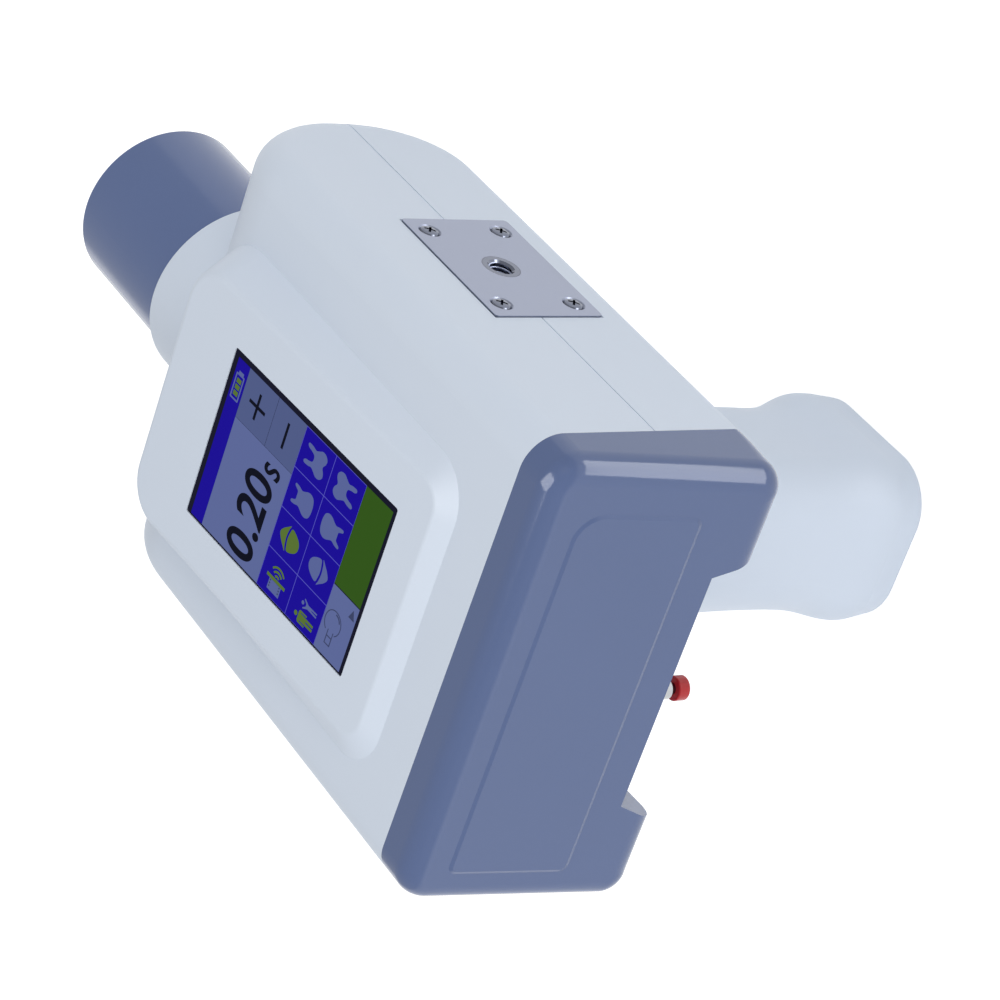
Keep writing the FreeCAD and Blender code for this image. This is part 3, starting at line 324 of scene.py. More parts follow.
# ---- stage -----------------------------------------------------------------
PAPER_GREY = 0.8            # studio paper
PAPER_LIFT = 0.62           # glow that takes the lit paper to pure white where it is seen
KEY_PLACE, KEY_SIDE = (-0.8, -1.2, 1.0), 0.7
FILL_PLACE, FILL_SIDE = (-1.15, 0.55, 0.55), 0.8
CAP_EDGE_HEIGHT = 0.79      # middle of the cap's right rear edge, as a share of the unit's height
EDGE_CARD_AWAY, EDGE_CARD_WIDTH, EDGE_CARD_HEIGHT = (-0.13, -0.18, -0.16), 0.30, 0.13
OVERHEAD_CARD_AWAY, OVERHEAD_CARD_SIDE = (-0.08, 0.03, 1.0), 0.75
CAMERA_PLACE = (-0.7780, -0.5427, 0.8406)
CAMERA_RIGHT = (-0.5035, -0.3008, -0.8099)
CAMERA_DOWN = (-0.5485, 0.8356, 0.0307)
CAMERA_FORWARD = (0.6675, 0.4597, -0.5857)
SENSOR_WIDTH = 36.0         # millimetres


def soft_box(name, place, aim, width, height, power):
    """Rectangular lamp turned to a point."""
    lamp = bpy.data.lights.new(name, "AREA")
    lamp.shape = "RECTANGLE"
    lamp.size, lamp.size_y, lamp.energy = width, height, power
    made = bpy.data.objects.new(name, lamp)
    made.location = place
    made.rotation_euler = (Vector(aim) - Vector(place)).to_track_quat("-Z", "Y").to_euler()
    bpy.context.scene.collection.objects.link(made)
    return made


class UNIT_OT_stage(bpy.types.Operator):
    """Floor, lamps, surroundings and camera"""
    bl_idname = "xray_unit.stage"
    bl_label = "Stage"

    def execute(self, context):
        sizes = context.scene.xray_stage
        scene = context.scene
        half = sizes.floor / 2
        mesh = bpy.data.meshes.new("stage_floor")
        mesh.from_pydata([(-half, -half, 0), (half, -half, 0), (half, half, 0), (-half, half, 0)],
                         [], [(0, 1, 2, 3)])
        floor = bpy.data.objects.new("stage_floor", mesh)
        scene.collection.objects.link(floor)
        # White background paper: reflects evenly and is pure white wherever it is seen.
        paint = bpy.data.materials.new("studio_paper")
        paint.use_nodes = True
        tree = paint.node_tree
        tree.nodes.clear()
        ray = add(tree, "ShaderNodeLightPath")
        seen = add(tree, "ShaderNodeMath", operation="MAXIMUM",
                   links={0: ray.outputs["Is Camera Ray"], 1: ray.outputs["Is Glossy Ray"]})
        seen = add(tree, "ShaderNodeMath", operation="MAXIMUM",
                   links={0: seen.outputs[0], 1: ray.outputs["Is Transmission Ray"]})
        lift = add(tree, "ShaderNodeMath", {1: PAPER_LIFT}, {0: seen.outputs[0]}, operation="MULTIPLY")
        paper = add(tree, "ShaderNodeBsdfDiffuse", {"Color": (PAPER_GREY, PAPER_GREY, PAPER_GREY, 1)})
        glow = add(tree, "ShaderNodeEmission", links={"Strength": lift.outputs[0]})
        both = add(tree, "ShaderNodeAddShader", links={0: paper.outputs[0], 1: glow.outputs[0]})
        add(tree, "ShaderNodeOutputMaterial", links={"Surface": both.outputs[0]})
        mesh.materials.append(paint)

        world = bpy.data.worlds.new("studio_surroundings")
        scene.world = world
        world.use_nodes = True
        tree = world.node_tree
        tree.nodes.clear()
        ray = add(tree, "ShaderNodeLightPath")
        level = add(tree, "ShaderNodeMapRange", {"To Min": sizes.world, "To Max": 1.0},
                    {"Value": ray.outputs["Is Camera Ray"]})
        sky = add(tree, "ShaderNodeBackground", {"Color": (1, 1, 1, 1)},
                  {"Strength": level.outputs["Result"]})
        add(tree, "ShaderNodeOutputWorld", links={"Surface": sky.outputs[0]})

        lo, hi = CAD_BOX
        aim = (lo + hi) / 2
        key = soft_box("key_soft_box", KEY_PLACE, aim, KEY_SIDE, KEY_SIDE, sizes.key_power)
        fill = soft_box("fill_soft_box", FILL_PLACE, aim, FILL_SIDE, FILL_SIDE, sizes.fill_power)
        key.visible_glossy = fill.visible_glossy = False
        # Two cards seen only in shiny surfaces: one low beside the cap's right edge, one overhead.
        edge = Vector((lo.x, lo.y, CAP_EDGE_HEIGHT * hi.z))
        low_card = soft_box("edge_card", edge + Vector(EDGE_CARD_AWAY), edge, EDGE_CARD_WIDTH,
                            EDGE_CARD_HEIGHT, sizes.edge_power)
        high_card = soft_box("overhead_card", edge + Vector(OVERHEAD_CARD_AWAY), edge,
                             OVERHEAD_CARD_SIDE, OVERHEAD_CARD_SIDE, sizes.overhead_power)
        low_card.visible_diffuse = high_card.visible_diffuse = False

        camera = bpy.data.cameras.new("camera")
        camera.lens, camera.sensor_width = sizes.lens, SENSOR_WIDTH
        made = bpy.data.objects.new("camera", camera)
        turn = Matrix((CAMERA_RIGHT, -Vector(CAMERA_DOWN), -Vector(CAMERA_FORWARD))).transposed().to_4x4()
        made.matrix_world = Matrix.Translation(CAMERA_PLACE) @ turn
        scene.collection.objects.link(made)
        scene.camera = made
        scene.view_settings.view_transform = "Standard"
        return {"FINISHED"}


# ---- mouldings -------------------------------------------------------------
# The cone's factor is painted light: a paler copy of the cap's colour.
CONE_PAINTED_LIGHT, WINDOW_SHADE = 1.16, 0.7    # over the cap's colour


class UNIT_OT_shell(bpy.types.Operator):
    """White housing, collar and grip mouldings"""
    bl_idname = "xray_unit.shell"
    bl_label = "White shell"

    def execute(self, context):
        colour = context.scene.xray_finish.shell
        # Injection-moulded ABS, spark-eroded satin: a soft broad sheen with a faint even grain.
        abs_white = surface("moulded_abs_white", colour, 0.46, ior=1.4, grain=0.5, relief=0.012,
                            mottle=0.012)
        dress(abs_white, "upper_housing", "lower_housing", "front_collar", "handle_left",
              "handle_right", "handle_foot")
        return {"FINISHED"}


class UNIT_OT_cap(bpy.types.Operator):
    """Blue-grey rear cap, beam cone and trigger"""
    bl_idname = "xray_unit.cap"
    bl_label = "Cap and cone"

    def execute(self, context):
        colour = context.scene.xray_finish.cap
        # Moulded ABS from a polished tool: crisp window-like highlights, almost no grain.
        abs_grey = surface("moulded_abs_blue_grey", colour, 0.13, ior=1.46, grain=0.8, relief=0.006,
                           mottle=0.03)
        dress(abs_grey, "rear_cap", "trigger")
        # The same resin with painted light: its colour is made a shade paler for the light and reflection that
        # the cone catches. A less polished tool gives softer highlights.
        cone_grey = surface("moulded_abs_blue_grey_painted_lighter", shade(colour, CONE_PAINTED_LIGHT), 0.2, ior=1.4,
                            grain=0.8, relief=0.006, mottle=0.03)
        dress(cone_grey, "collimator_cone")
        # Moulded polycarbonate disc: dull and darker than the cone.
        window = surface("moulded_polycarbonate_window", shade(colour, WINDOW_SHADE), 0.35, ior=1.58)
        dress(window, "beam_window")
        return {"FINISHED"}


# ---- Geometry Nodes trees --------------------------------------------------
def coil_tree(name):
    """Helix of wire or thread ridge about Z, from height 0 up."""
    tree, given, end = new_tree(name, [
        ("Radius", "NodeSocketFloat", 0.005), ("Height", "NodeSocketFloat", 0.01),
        ("Turns", "NodeSocketFloat", 5.0), ("Wire Radius", "NodeSocketFloat", 0.0003),
        ("Steps", "NodeSocketInt", 160), ("Profile Sides", "NodeSocketInt", 8),
        ("Finish", "NodeSocketMaterial", None)])
    steps = add(tree, "ShaderNodeMath", {}, {0: given.outputs["Steps"], 1: given.outputs["Turns"]},
                operation="DIVIDE")
    path = add(tree, "GeometryNodeCurveSpiral", {}, {
        "Resolution": steps.outputs[0], "Rotations": given.outputs["Turns"],
        "Start Radius": given.outputs["Radius"], "End Radius": given.outputs["Radius"],
        "Height": given.outputs["Height"]})
    section = add(tree, "GeometryNodeCurvePrimitiveCircle", {}, {
        "Resolution": given.outputs["Profile Sides"], "Radius": given.outputs["Wire Radius"]})
    wire = add(tree, "GeometryNodeCurveToMesh", {"Fill Caps": True},
               {"Curve": path.outputs["Curve"], "Profile Curve": section.outputs["Curve"]})
    whole = add(tree, "GeometryNodeRealizeInstances", {}, {"Geometry": wire.outputs["Mesh"]})
    dressed = add(tree, "GeometryNodeSetMaterial", {}, {
        "Geometry": whole.outputs["Geometry"], "Material": given.outputs["Finish"]})
    tree.links.new(dressed.outputs["Geometry"], end.inputs["Geometry"])
    return tree


def tile_tree(name):
    """Rows and columns of thin rectangular tiles centred on the origin."""
    tree, given, end = new_tree(name, [
        ("Columns", "NodeSocketInt", 4), ("Rows", "NodeSocketInt", 2),
        ("Span Across", "NodeSocketFloat", 0.045), ("Span Along", "NodeSocketFloat", 0.018),
        ("Tile Size", "NodeSocketVector", None), ("Finish", "NodeSocketMaterial", None)])
    spots = add(tree, "GeometryNodeMeshGrid", {}, {
        "Size X": given.outputs["Span Across"], "Size Y": given.outputs["Span Along"],
        "Vertices X": given.outputs["Columns"], "Vertices Y": given.outputs["Rows"]})
    tile = add(tree, "GeometryNodeMeshCube", {}, {"Size": given.outputs["Tile Size"]})
    laid = add(tree, "GeometryNodeInstanceOnPoints", {}, {
        "Points": spots.outputs["Mesh"], "Instance": tile.outputs["Mesh"]})
    whole = add(tree, "GeometryNodeRealizeInstances", {}, {"Geometry": laid.outputs["Instances"]})
    dressed = add(tree, "GeometryNodeSetMaterial", {}, {
        "Geometry": whole.outputs["Geometry"], "Material": given.outputs["Finish"]})
    tree.links.new(dressed.outputs["Geometry"], end.inputs["Geometry"])
    return tree


# ---- display ---------------------------------------------------------------
def rectangle(x0, x1, y0, y1, radius=0.0, steps=5):
    """Outline with rounded corners."""
    if not radius:
        return [(x0, y0), (x1, y0), (x1, y1), (x0, y1)]
    out = []
    for cx, cy, start in ((x1 - radius, y0 + radius, -90), (x1 - radius, y1 - radius, 0),
                          (x0 + radius, y1 - radius, 90), (x0 + radius, y0 + radius, 180)):
        for i in range(steps + 1):
            turn = math.radians(start + 90 * i / steps)
            out.append((cx + radius * math.cos(turn), cy + radius * math.sin(turn)))
    return out


def rounded(points, steps=6):
    """Closed smooth outline through points."""
    out, n = [], len(points)
    for i in range(n):
        a, b, c, d = (Vector(points[(i + k - 1) % n]) for k in range(4))
        for s in range(steps):
            t = s / steps
            p = 0.5 * (2 * b + (c - a) * t + (2 * a - 5 * b + 4 * c - d) * t * t
                       + (3 * b - a - 3 * c + d) * t ** 3)
            out.append((p.x, p.y))
    return out


def even(half):
    """Outline symmetrical about x = 0 from its right half, listed from top to bottom."""
    return half + [(-x, y) for x, y in reversed(half) if x > 0]


def placed(outline, dx, dy, flip=False):
    """Outline moved, and turned upside down first where asked."""
    return [(x + dx, (-y if flip else y) + dy) for x, y in outline]


def ring(cx, cy, radius, thick, start, sweep, steps=24):
    """Arc-shaped strip as one outline."""
    outer, inner = [], []
    for i in range(steps + 1):
        turn = math.radians(start + sweep * i / steps)
        c, s = math.cos(turn), math.sin(turn)
        outer.append((cx + (radius + thick / 2) * c, cy + (radius + thick / 2) * s))
        inner.append((cx + (radius - thick / 2) * c, cy + (radius - thick / 2) * s))
    return outer + inner[::-1]


def disc(cx, cy, radius, steps=20):
    """Round outline."""
    turns = (math.radians(360 * i / steps) for i in range(steps))
    return [(cx + radius * math.cos(t), cy + radius * math.sin(t)) for t in turns]


def flat(outlines, thick):
    """Thin closed mesh of filled outlines, in millimetres, standing on z = 0."""
    curve = bpy.data.curves.new("flat", "CURVE")
    curve.dimensions, curve.fill_mode, curve.extrude = "2D", "BOTH", thick / 2
    for outline in outlines:
        spline = curve.splines.new("POLY")
        spline.points.add(len(outline) - 1)
        for point, (x, y) in zip(spline.points, outline):
            point.co = (x, y, 0, 1)
        spline.use_cyclic_u = True
    mesh = mesh_of(bpy.data.objects.new("flat", curve))
    mesh.transform(Matrix.Translation((0, 0, thick / 2)))
    return mesh


def figures(text, x0, x1, y0, y1, thick, swell):
    """Text as a thin closed mesh stretched into a box, in millimetres."""
    curve = bpy.data.curves.new("figures", "FONT")
    curve.body, curve.extrude, curve.offset = text, thick / 2, swell
    mesh = mesh_of(bpy.data.objects.new("figures", curve))
    xs = [v.co.x for v in mesh.vertices]
    ys = [v.co.y for v in mesh.vertices]
    wide, high = (x1 - x0) / (max(xs) - min(xs)), (y1 - y0) / (max(ys) - min(ys))
    mesh.transform(Matrix.Translation((x0 - min(xs) * wide, y0 - min(ys) * high, thick / 2))
                   @ Matrix.Diagonal((wide, high, 1, 1)))
    return mesh


FACES_UP = 0.9              # least height of the normal of the glass's top faces


def display_place(sizes):
    """Matrix from display millimetres, from the lit area's lower left, to the row frame."""
    mesh = NODES["touch_glass"].data
    normal = Vector()
    for face in mesh.polygons:
        if face.normal.z > FACES_UP:
            normal += face.normal * face.area
    normal.normalize()
    level = max(normal.dot(v.co) for v in mesh.vertices)
    lo, hi = (Vector(c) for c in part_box("touch_glass"))
    middle = (lo + hi) / 2
    middle += normal * (level - normal.dot(middle))
    right = Vector((0, -1, 0))
    up = normal.cross(right)
    corner = (middle + right * (sizes.shift_across - sizes.width / 2)
              + up * (sizes.shift_along - sizes.height / 2))
    turn = Matrix((right, up, normal)).transposed().to_4x4()
    return Matrix.Translation(corner) @ turn @ Matrix.Scale(MM, 4)


def display_piece(context, name, meshes, level, made):
    """Lays meshes made in display millimetres on the glass as one piece."""
    sizes = context.scene.xray_display
    mesh = merged(meshes)
    lift = Matrix.Translation((0, 0, level * sizes.layer / MM))
    mesh.transform(display_place(sizes) @ lift)
    tidy(mesh, JOIN_SMALL)
    return finish_piece(name, mesh, made)


# Layout of the display, in millimetres from the lit area's lower left.
LEFT, RIGHT = 0.0, 61.6
BAR_LOW, BAR_HIGH = 86.8, 94.0
PANEL_LOW = 51.3
PANEL_RIGHT = 42.8
KEY_SPLIT = 68.4
GRID_LOW = 15.3
LOWER_SPLIT = 24.2
KEY_COLUMNS, KEY_ROWS = 4, 2
KEY_PITCH_ACROSS = 15.4
KEY_PITCH_ALONG = 17.9
KEY_GAP = 0.32
PANEL_GAP = 0.15            # between the panel and the plus and minus keys
READY_GAP = 0.4             # between the lower panel and the ready bar
LINE = 0.1                  # dark line beside the bars and the grid


def key_centre(column, row):
    """Centre of a blue key; row 0 is the upper one."""
    return ((column + 0.5) * KEY_PITCH_ACROSS, GRID_LOW + (1.5 - row) * KEY_PITCH_ALONG)


class UNIT_OT_display_ground(bpy.types.Operator):
    """Touch glass, panels and keys of the lit display"""
    bl_idname = "xray_unit.display_ground"
    bl_label = "Display ground"

    def execute(self, context):
        look = context.scene.xray_display
        thick = look.layer / MM
        # Coated, black-backed float glass: a deep blue-black whose reflections are faint and sharp.
        glass = surface("coated_black_float_glass", linear("#060724"), 0.05, ior=1.15, grain=4.0,
                        mottle=0.02, rough_spread=0.01)
        dress(glass, "touch_glass")
        panel = lit("backlit_lcd_panel_grey", look.panel, look.glow)
        key = lit("backlit_lcd_key_grey", look.key, look.glow)
        blue = lit("backlit_lcd_blue", look.blue, look.glow)
        line = lit("backlit_lcd_line_violet", look.line, look.glow)
        ready = lit("backlit_lcd_green", look.ready, look.glow)
        upper = flat([rectangle(LEFT, PANEL_RIGHT, PANEL_LOW, BAR_LOW)], thick)
        lower = flat([rectangle(LEFT, LOWER_SPLIT, 0, GRID_LOW)], thick)
        display_piece(context, "display_panel", [upper, lower], 0, panel)
        key_left = PANEL_RIGHT + PANEL_GAP
        plus = flat([rectangle(key_left, RIGHT, KEY_SPLIT + LINE, BAR_LOW)], thick)
        minus = flat([rectangle(key_left, RIGHT, PANEL_LOW, KEY_SPLIT - LINE)], thick)
        display_piece(context, "display_plus_minus_keys", [plus, minus], 0, key)
        for name, box, made in (
                ("display_status_bar", (LEFT, RIGHT, BAR_LOW + LINE, BAR_HIGH), blue),
                ("display_ready_bar", (LOWER_SPLIT + READY_GAP, RIGHT, 0, GRID_LOW), ready),
                ("display_key_lines", (LEFT, RIGHT, GRID_LOW + LINE, PANEL_LOW - LINE), line)):
            display_piece(context, name, [flat([rectangle(*box)], thick)], 0, made)
        tiles = grown(tile_tree, "display_blue_keys", {
            "Columns": KEY_COLUMNS, "Rows": KEY_ROWS, "Finish": blue,
            "Span Across": (KEY_COLUMNS - 1) * KEY_PITCH_ACROSS,
            "Span Along": (KEY_ROWS - 1) * KEY_PITCH_ALONG,
            "Tile Size": (KEY_PITCH_ACROSS - KEY_GAP, KEY_PITCH_ALONG - KEY_GAP, thick)})
        tiles.transform(Matrix.Translation((KEY_COLUMNS / 2 * KEY_PITCH_ACROSS,
                                            GRID_LOW + KEY_ROWS / 2 * KEY_PITCH_ALONG, thick / 2)))
        display_piece(context, "display_blue_keys", [tiles], 1, blue)
        return {"FINISHED"}


# Right halves of the icons, about their key's centre, from top to bottom.
INCISOR_CROWN = [(0, 5.5), (2.0, 4.3), (3.6, 2.4), (4.75, 0.9), (3.0, 1.5), (0, 1.9)]
INCISOR_ROOT = [(0, 1.0), (2.6, 0.6), (4.1, 0.0), (3.9, -1.8), (2.6, -4.2), (1.2, -5.3), (0, -5.5)]
PREMOLAR = [(0, 3.3), (1.5, 3.4), (2.1, 4.4), (2.7, 5.5), (3.5, 5.3), (3.4, 3.4), (2.9, 1.6),
            (3.2, 0.4), (4.2, -1.6), (4.4, -3.4), (3.6, -5.0), (2.0, -5.7), (0, -5.9)]
MOLAR = [(0, 0.9), (1.2, 1.3), (1.8, 2.8), (2.2, 4.8), (3.0, 5.6), (3.7, 5.0), (3.6, 2.8),
         (3.2, 1.0), (3.9, -0.6), (4.8, -2.4), (4.5, -4.4), (3.2, -5.6), (1.7, -5.4),
         (0.6, -4.6), (0, -4.4)]
ADULT = [(0, 2.6), (1.6, 2.6), (2.25, 2.1), (2.25, -1.8), (1.65, -1.8), (1.6, 1.4), (1.3, 1.4),
         (1.2, -6.1), (0.25, -6.1), (0.2, -2.0), (0, -2.0)]
CHILD = [(0, 0.3), (0.5, 0.3), (1.5, 1.7), (1.95, 1.5), (1.0, -0.4), (0.75, -1.0), (0.85, -6.1),
         (0.25, -6.1), (0.15, -3.0), (0, -3.0)]
ADULT_LEFT, ADULT_HEAD, ADULT_HEAD_RADIUS = 3.7, 3.95, 0.9
CHILD_RIGHT, CHILD_HEAD, CHILD_HEAD_RADIUS = 1.5, 2.15, 0.7
# Film card with its holes, its edge and the waves, about their key's centre: left, right, low, high.
FILM, FILM_EDGE = (-5.5, -1.6, -3.5, 3.5), (-1.5, -0.3, -5.4, 5.4)
HOLE_COLUMNS, HOLE_ROWS, HOLE_SIZE = 3, 2, (0.55, 0.6)
HOLES_ACROSS, HOLES_ALONG, HOLES_MIDDLE = 2.2, 5.4, -3.1
WAVE_MIDDLE, WAVE_RADII, WAVE_WIDTH = -0.6, (1.4, 2.9, 4.4), 0.75
WAVE_START, WAVE_SWEEP = -50, 100
# The rest in millimetres from the lit area's lower left. Boxes: left, right, low, high.
PLUS_X, PLUS_Y, MINUS_Y = 52.1, 77.6, 59.9
ARM, HALF_STROKE = 4.8, 0.6
FIGURES_BOX, FIGURES_SWELL = (1.9, 33.9, 57.0, 73.2), 0.018
SECONDS_BOX, SECONDS_SWELL = (35.6, 39.7, 56.0, 65.2), 0.008
BATTERY_CASE, BATTERY_CORNER = (47.3, 56.8, 87.9, 92.8), 0.4
BATTERY_OPENING, BATTERY_TIP = (47.9, 56.2, 88.5, 92.2), (56.8, 57.8, 88.8, 91.6)
BATTERY_BARS, BARS_SPAN, BARS_SIZE, BARS_MIDDLE = 3, 4.6, (1.7, 2.6), (52.05, 90.3)
# Small head with an x-ray source beside it. Rings: middle, radius, width, start, sweep.
SKULL, JAW = (12.3, 9.9, 4.4, 0.35, 215, 290), (12.9, 9.5, 2.9, 0.5, -70, 70)
SOURCE_CASE, SOURCE_OPENING = (4.1, 7.3, 8.0, 11.2), (4.5, 6.9, 8.4, 10.8)
BEAM_LOWER, BEAM_UPPER = (7.3, 9.4, 8.0, 8.35), (7.3, 9.4, 10.85, 11.2)
ARROW = [(18.9, 0.8), (22.3, 2.4), (18.9, 4.0)]
FAINT = 0.4                 # share of the panel's colour


def icon(half, centre, thick, flip=False):
    """Smooth symmetrical icon about a key's centre, upright or upside down."""
    return flat([placed(rounded(even(half)), *centre, flip=flip)], thick)


def figure(half, x, y, head, radius, thick):
    """Standing figure: body and head."""
    return [flat([placed(even(half), x, y)], thick), flat([disc(x, y + head, radius)], thick)]


class UNIT_OT_display_icons(bpy.types.Operator):
    """Figures, signs and icons of the lit display"""
    bl_idname = "xray_unit.display_icons"
    bl_label = "Display icons"

    def execute(self, context):
        look = context.scene.xray_display
        thick = look.layer / MM
        ink = lit("backlit_lcd_ink", look.ink, look.glow)
        pale = lit("backlit_lcd_icon_grey", look.icon, look.glow)
        chosen = lit("backlit_lcd_chosen_green", look.chosen, look.glow)
        faint = lit("backlit_lcd_faint_ink", shade(look.panel, FAINT), look.glow)

        # The plus as one outline: its upper right quarter, then the other three going round.
        quarter = [(HALF_STROKE, ARM), (HALF_STROKE, HALF_STROKE), (ARM, HALF_STROKE)]
        corners = (quarter + [(x, -y) for x, y in reversed(quarter)]
                   + [(-x, -y) for x, y in quarter] + [(-x, y) for x, y in reversed(quarter)])
        plus = placed(corners, PLUS_X, PLUS_Y)[::-1]
        minus = placed(rectangle(-ARM, ARM, -HALF_STROKE, HALF_STROKE), PLUS_X, MINUS_Y)
        display_piece(context, "display_figures", [
            figures("0.20", *FIGURES_BOX, thick, FIGURES_SWELL),
            figures("s", *SECONDS_BOX, thick, SECONDS_SWELL),
            flat([plus], thick), flat([minus], thick)], 1, ink)

        film_x, film_y = key_centre(0, 0)
        people_x, people_y = key_centre(0, 1)
        lower = key_centre(1, 1)
        pale_shapes = [
            flat([rectangle(*BATTERY_CASE, BATTERY_CORNER), rectangle(*BATTERY_OPENING)], thick),
            flat([rectangle(*BATTERY_TIP)], thick),
            icon(INCISOR_CROWN, lower, thick, flip=True), icon(INCISOR_ROOT, lower, thick, flip=True)]
        for column, half in ((2, PREMOLAR), (3, MOLAR)):
            for row in range(KEY_ROWS):
                pale_shapes.append(icon(half, key_centre(column, row), thick, flip=row == 1))
        pale_shapes.append(flat([placed(rectangle(*FILM), film_x, film_y)], thick))
        pale_shapes += figure(CHILD, people_x + CHILD_RIGHT, people_y, CHILD_HEAD, CHILD_HEAD_RADIUS,
                              thick)
        display_piece(context, "display_pale_icons", pale_shapes, 2, pale)

        upper = key_centre(1, 0)
        bright = [
            icon(INCISOR_CROWN, upper, thick), icon(INCISOR_ROOT, upper, thick),
            flat([placed(rectangle(*FILM_EDGE), film_x, film_y)], thick)]
        bright += figure(ADULT, people_x - ADULT_LEFT, people_y, ADULT_HEAD, ADULT_HEAD_RADIUS, thick)
        for radius in WAVE_RADII:
            bright.append(flat([ring(film_x + WAVE_MIDDLE, film_y, radius, WAVE_WIDTH, WAVE_START,
                                     WAVE_SWEEP)], thick))
        bars = grown(tile_tree, "battery_bars", {
            "Columns": BATTERY_BARS, "Rows": 1, "Span Across": BARS_SPAN, "Span Along": 0.0,
            "Tile Size": (*BARS_SIZE, thick), "Finish": chosen})
        bars.transform(Matrix.Translation((*BARS_MIDDLE, thick / 2)))
        bright.append(bars)
        display_piece(context, "display_chosen_icons", bright, 2, chosen)

        holes = grown(tile_tree, "film_holes", {
            "Columns": HOLE_COLUMNS, "Rows": HOLE_ROWS, "Span Across": HOLES_ACROSS,
            "Span Along": HOLES_ALONG, "Tile Size": (*HOLE_SIZE, thick), "Finish": faint})
        holes.transform(Matrix.Translation((film_x + HOLES_MIDDLE, film_y, thick / 2)))
        display_piece(context, "display_film_holes", [holes], 3, faint)
        head = [flat(outlines, thick) for outlines in (
            [ring(*SKULL)], [ring(*JAW)], [rectangle(*SOURCE_CASE), rectangle(*SOURCE_OPENING)],
            [rectangle(*BEAM_LOWER)], [rectangle(*BEAM_UPPER)], [ARROW])]
        display_piece(context, "display_head_icon", head, 1, faint)
        return {"FINISHED"}


# ---- metal and small hardware ----------------------------------------------
# Turned outline of a side plate screw in millimetres: radius, depth behind the plate's face.
SCREW_PROFILE = [(0, -0.5), (1.3, -0.46), (2.4, -0.3), (3.0, -0.05), (3.3, 0.35), (3.2, 0.7),
                 (1.9, 2.1), (1.9, 9.0), (0, 9.0)]
SCREW_HEAD = 3.9            # radius of the plain CAD screw's head
CROSS_LENGTH, CROSS_WIDTH, CROSS_DEPTH = 3.9, 0.85, 1.7
CROSS_TURN = 0.6            # radians
# Painted light: the second factor lightens the cut thread for light in the bore.
# Painted reflection: the first factor darkens the turned parts for the dark surroundings that they reflect.
TURNED_PAINTED_DARK, THREAD_PAINTED_LIGHT = 0.55, 1.9  # over the sheet's colour
INSERT_BORE, THREAD_SHORT = 3.97, 0.8   # bore radius, plain bore left at each end
THREAD_SUNK = 0.1           # how far a ridge's middle lies in the metal, as a share of its height
THREAD_STEPS, THREAD_SIDES = 320, 4


def turned_body(profile, steps=48):
    """Closed mesh turned about Z from an outline that starts and ends on the axis."""
    work = bmesh.new()
    points = [work.verts.new((radius, 0, depth)) for radius, depth in profile]
    edges = [work.edges.new(pair) for pair in zip(points, points[1:])]
    bmesh.ops.spin(work, geom=points + edges, cent=(0, 0, 0), axis=(0, 0, 1),
                   angle=math.tau, steps=steps, use_duplicate=False)
    mesh = bpy.data.meshes.new("turned")
    work.to_mesh(mesh)
    work.free()
    return tidy(mesh, JOIN_IN_MM)


def cross_headed(body):
    """The turned body with a cross recess cut into its face."""
    for angle in (CROSS_TURN, CROSS_TURN + math.pi / 2):
        cutter_mesh = bpy.data.meshes.new("cutter")
        work = bmesh.new()
        bmesh.ops.create_cube(work, size=1.0, matrix=Matrix.Rotation(angle, 4, "Z") @ Matrix.Diagonal(
            (CROSS_LENGTH, CROSS_WIDTH, 2 * CROSS_DEPTH, 1)))
        work.to_mesh(cutter_mesh)
        work.free()
        cutter = bpy.data.objects.new("cutter", cutter_mesh)
        bpy.context.scene.collection.objects.link(cutter)
        blank = bpy.data.objects.new("blank", body)
        cut = blank.modifiers.new("cross", "BOOLEAN")
        cut.operation, cut.solver, cut.object = "DIFFERENCE", "EXACT", cutter
        body = mesh_of(blank)
        bpy.data.objects.remove(cutter)
    return tidy(body, JOIN_IN_MM)


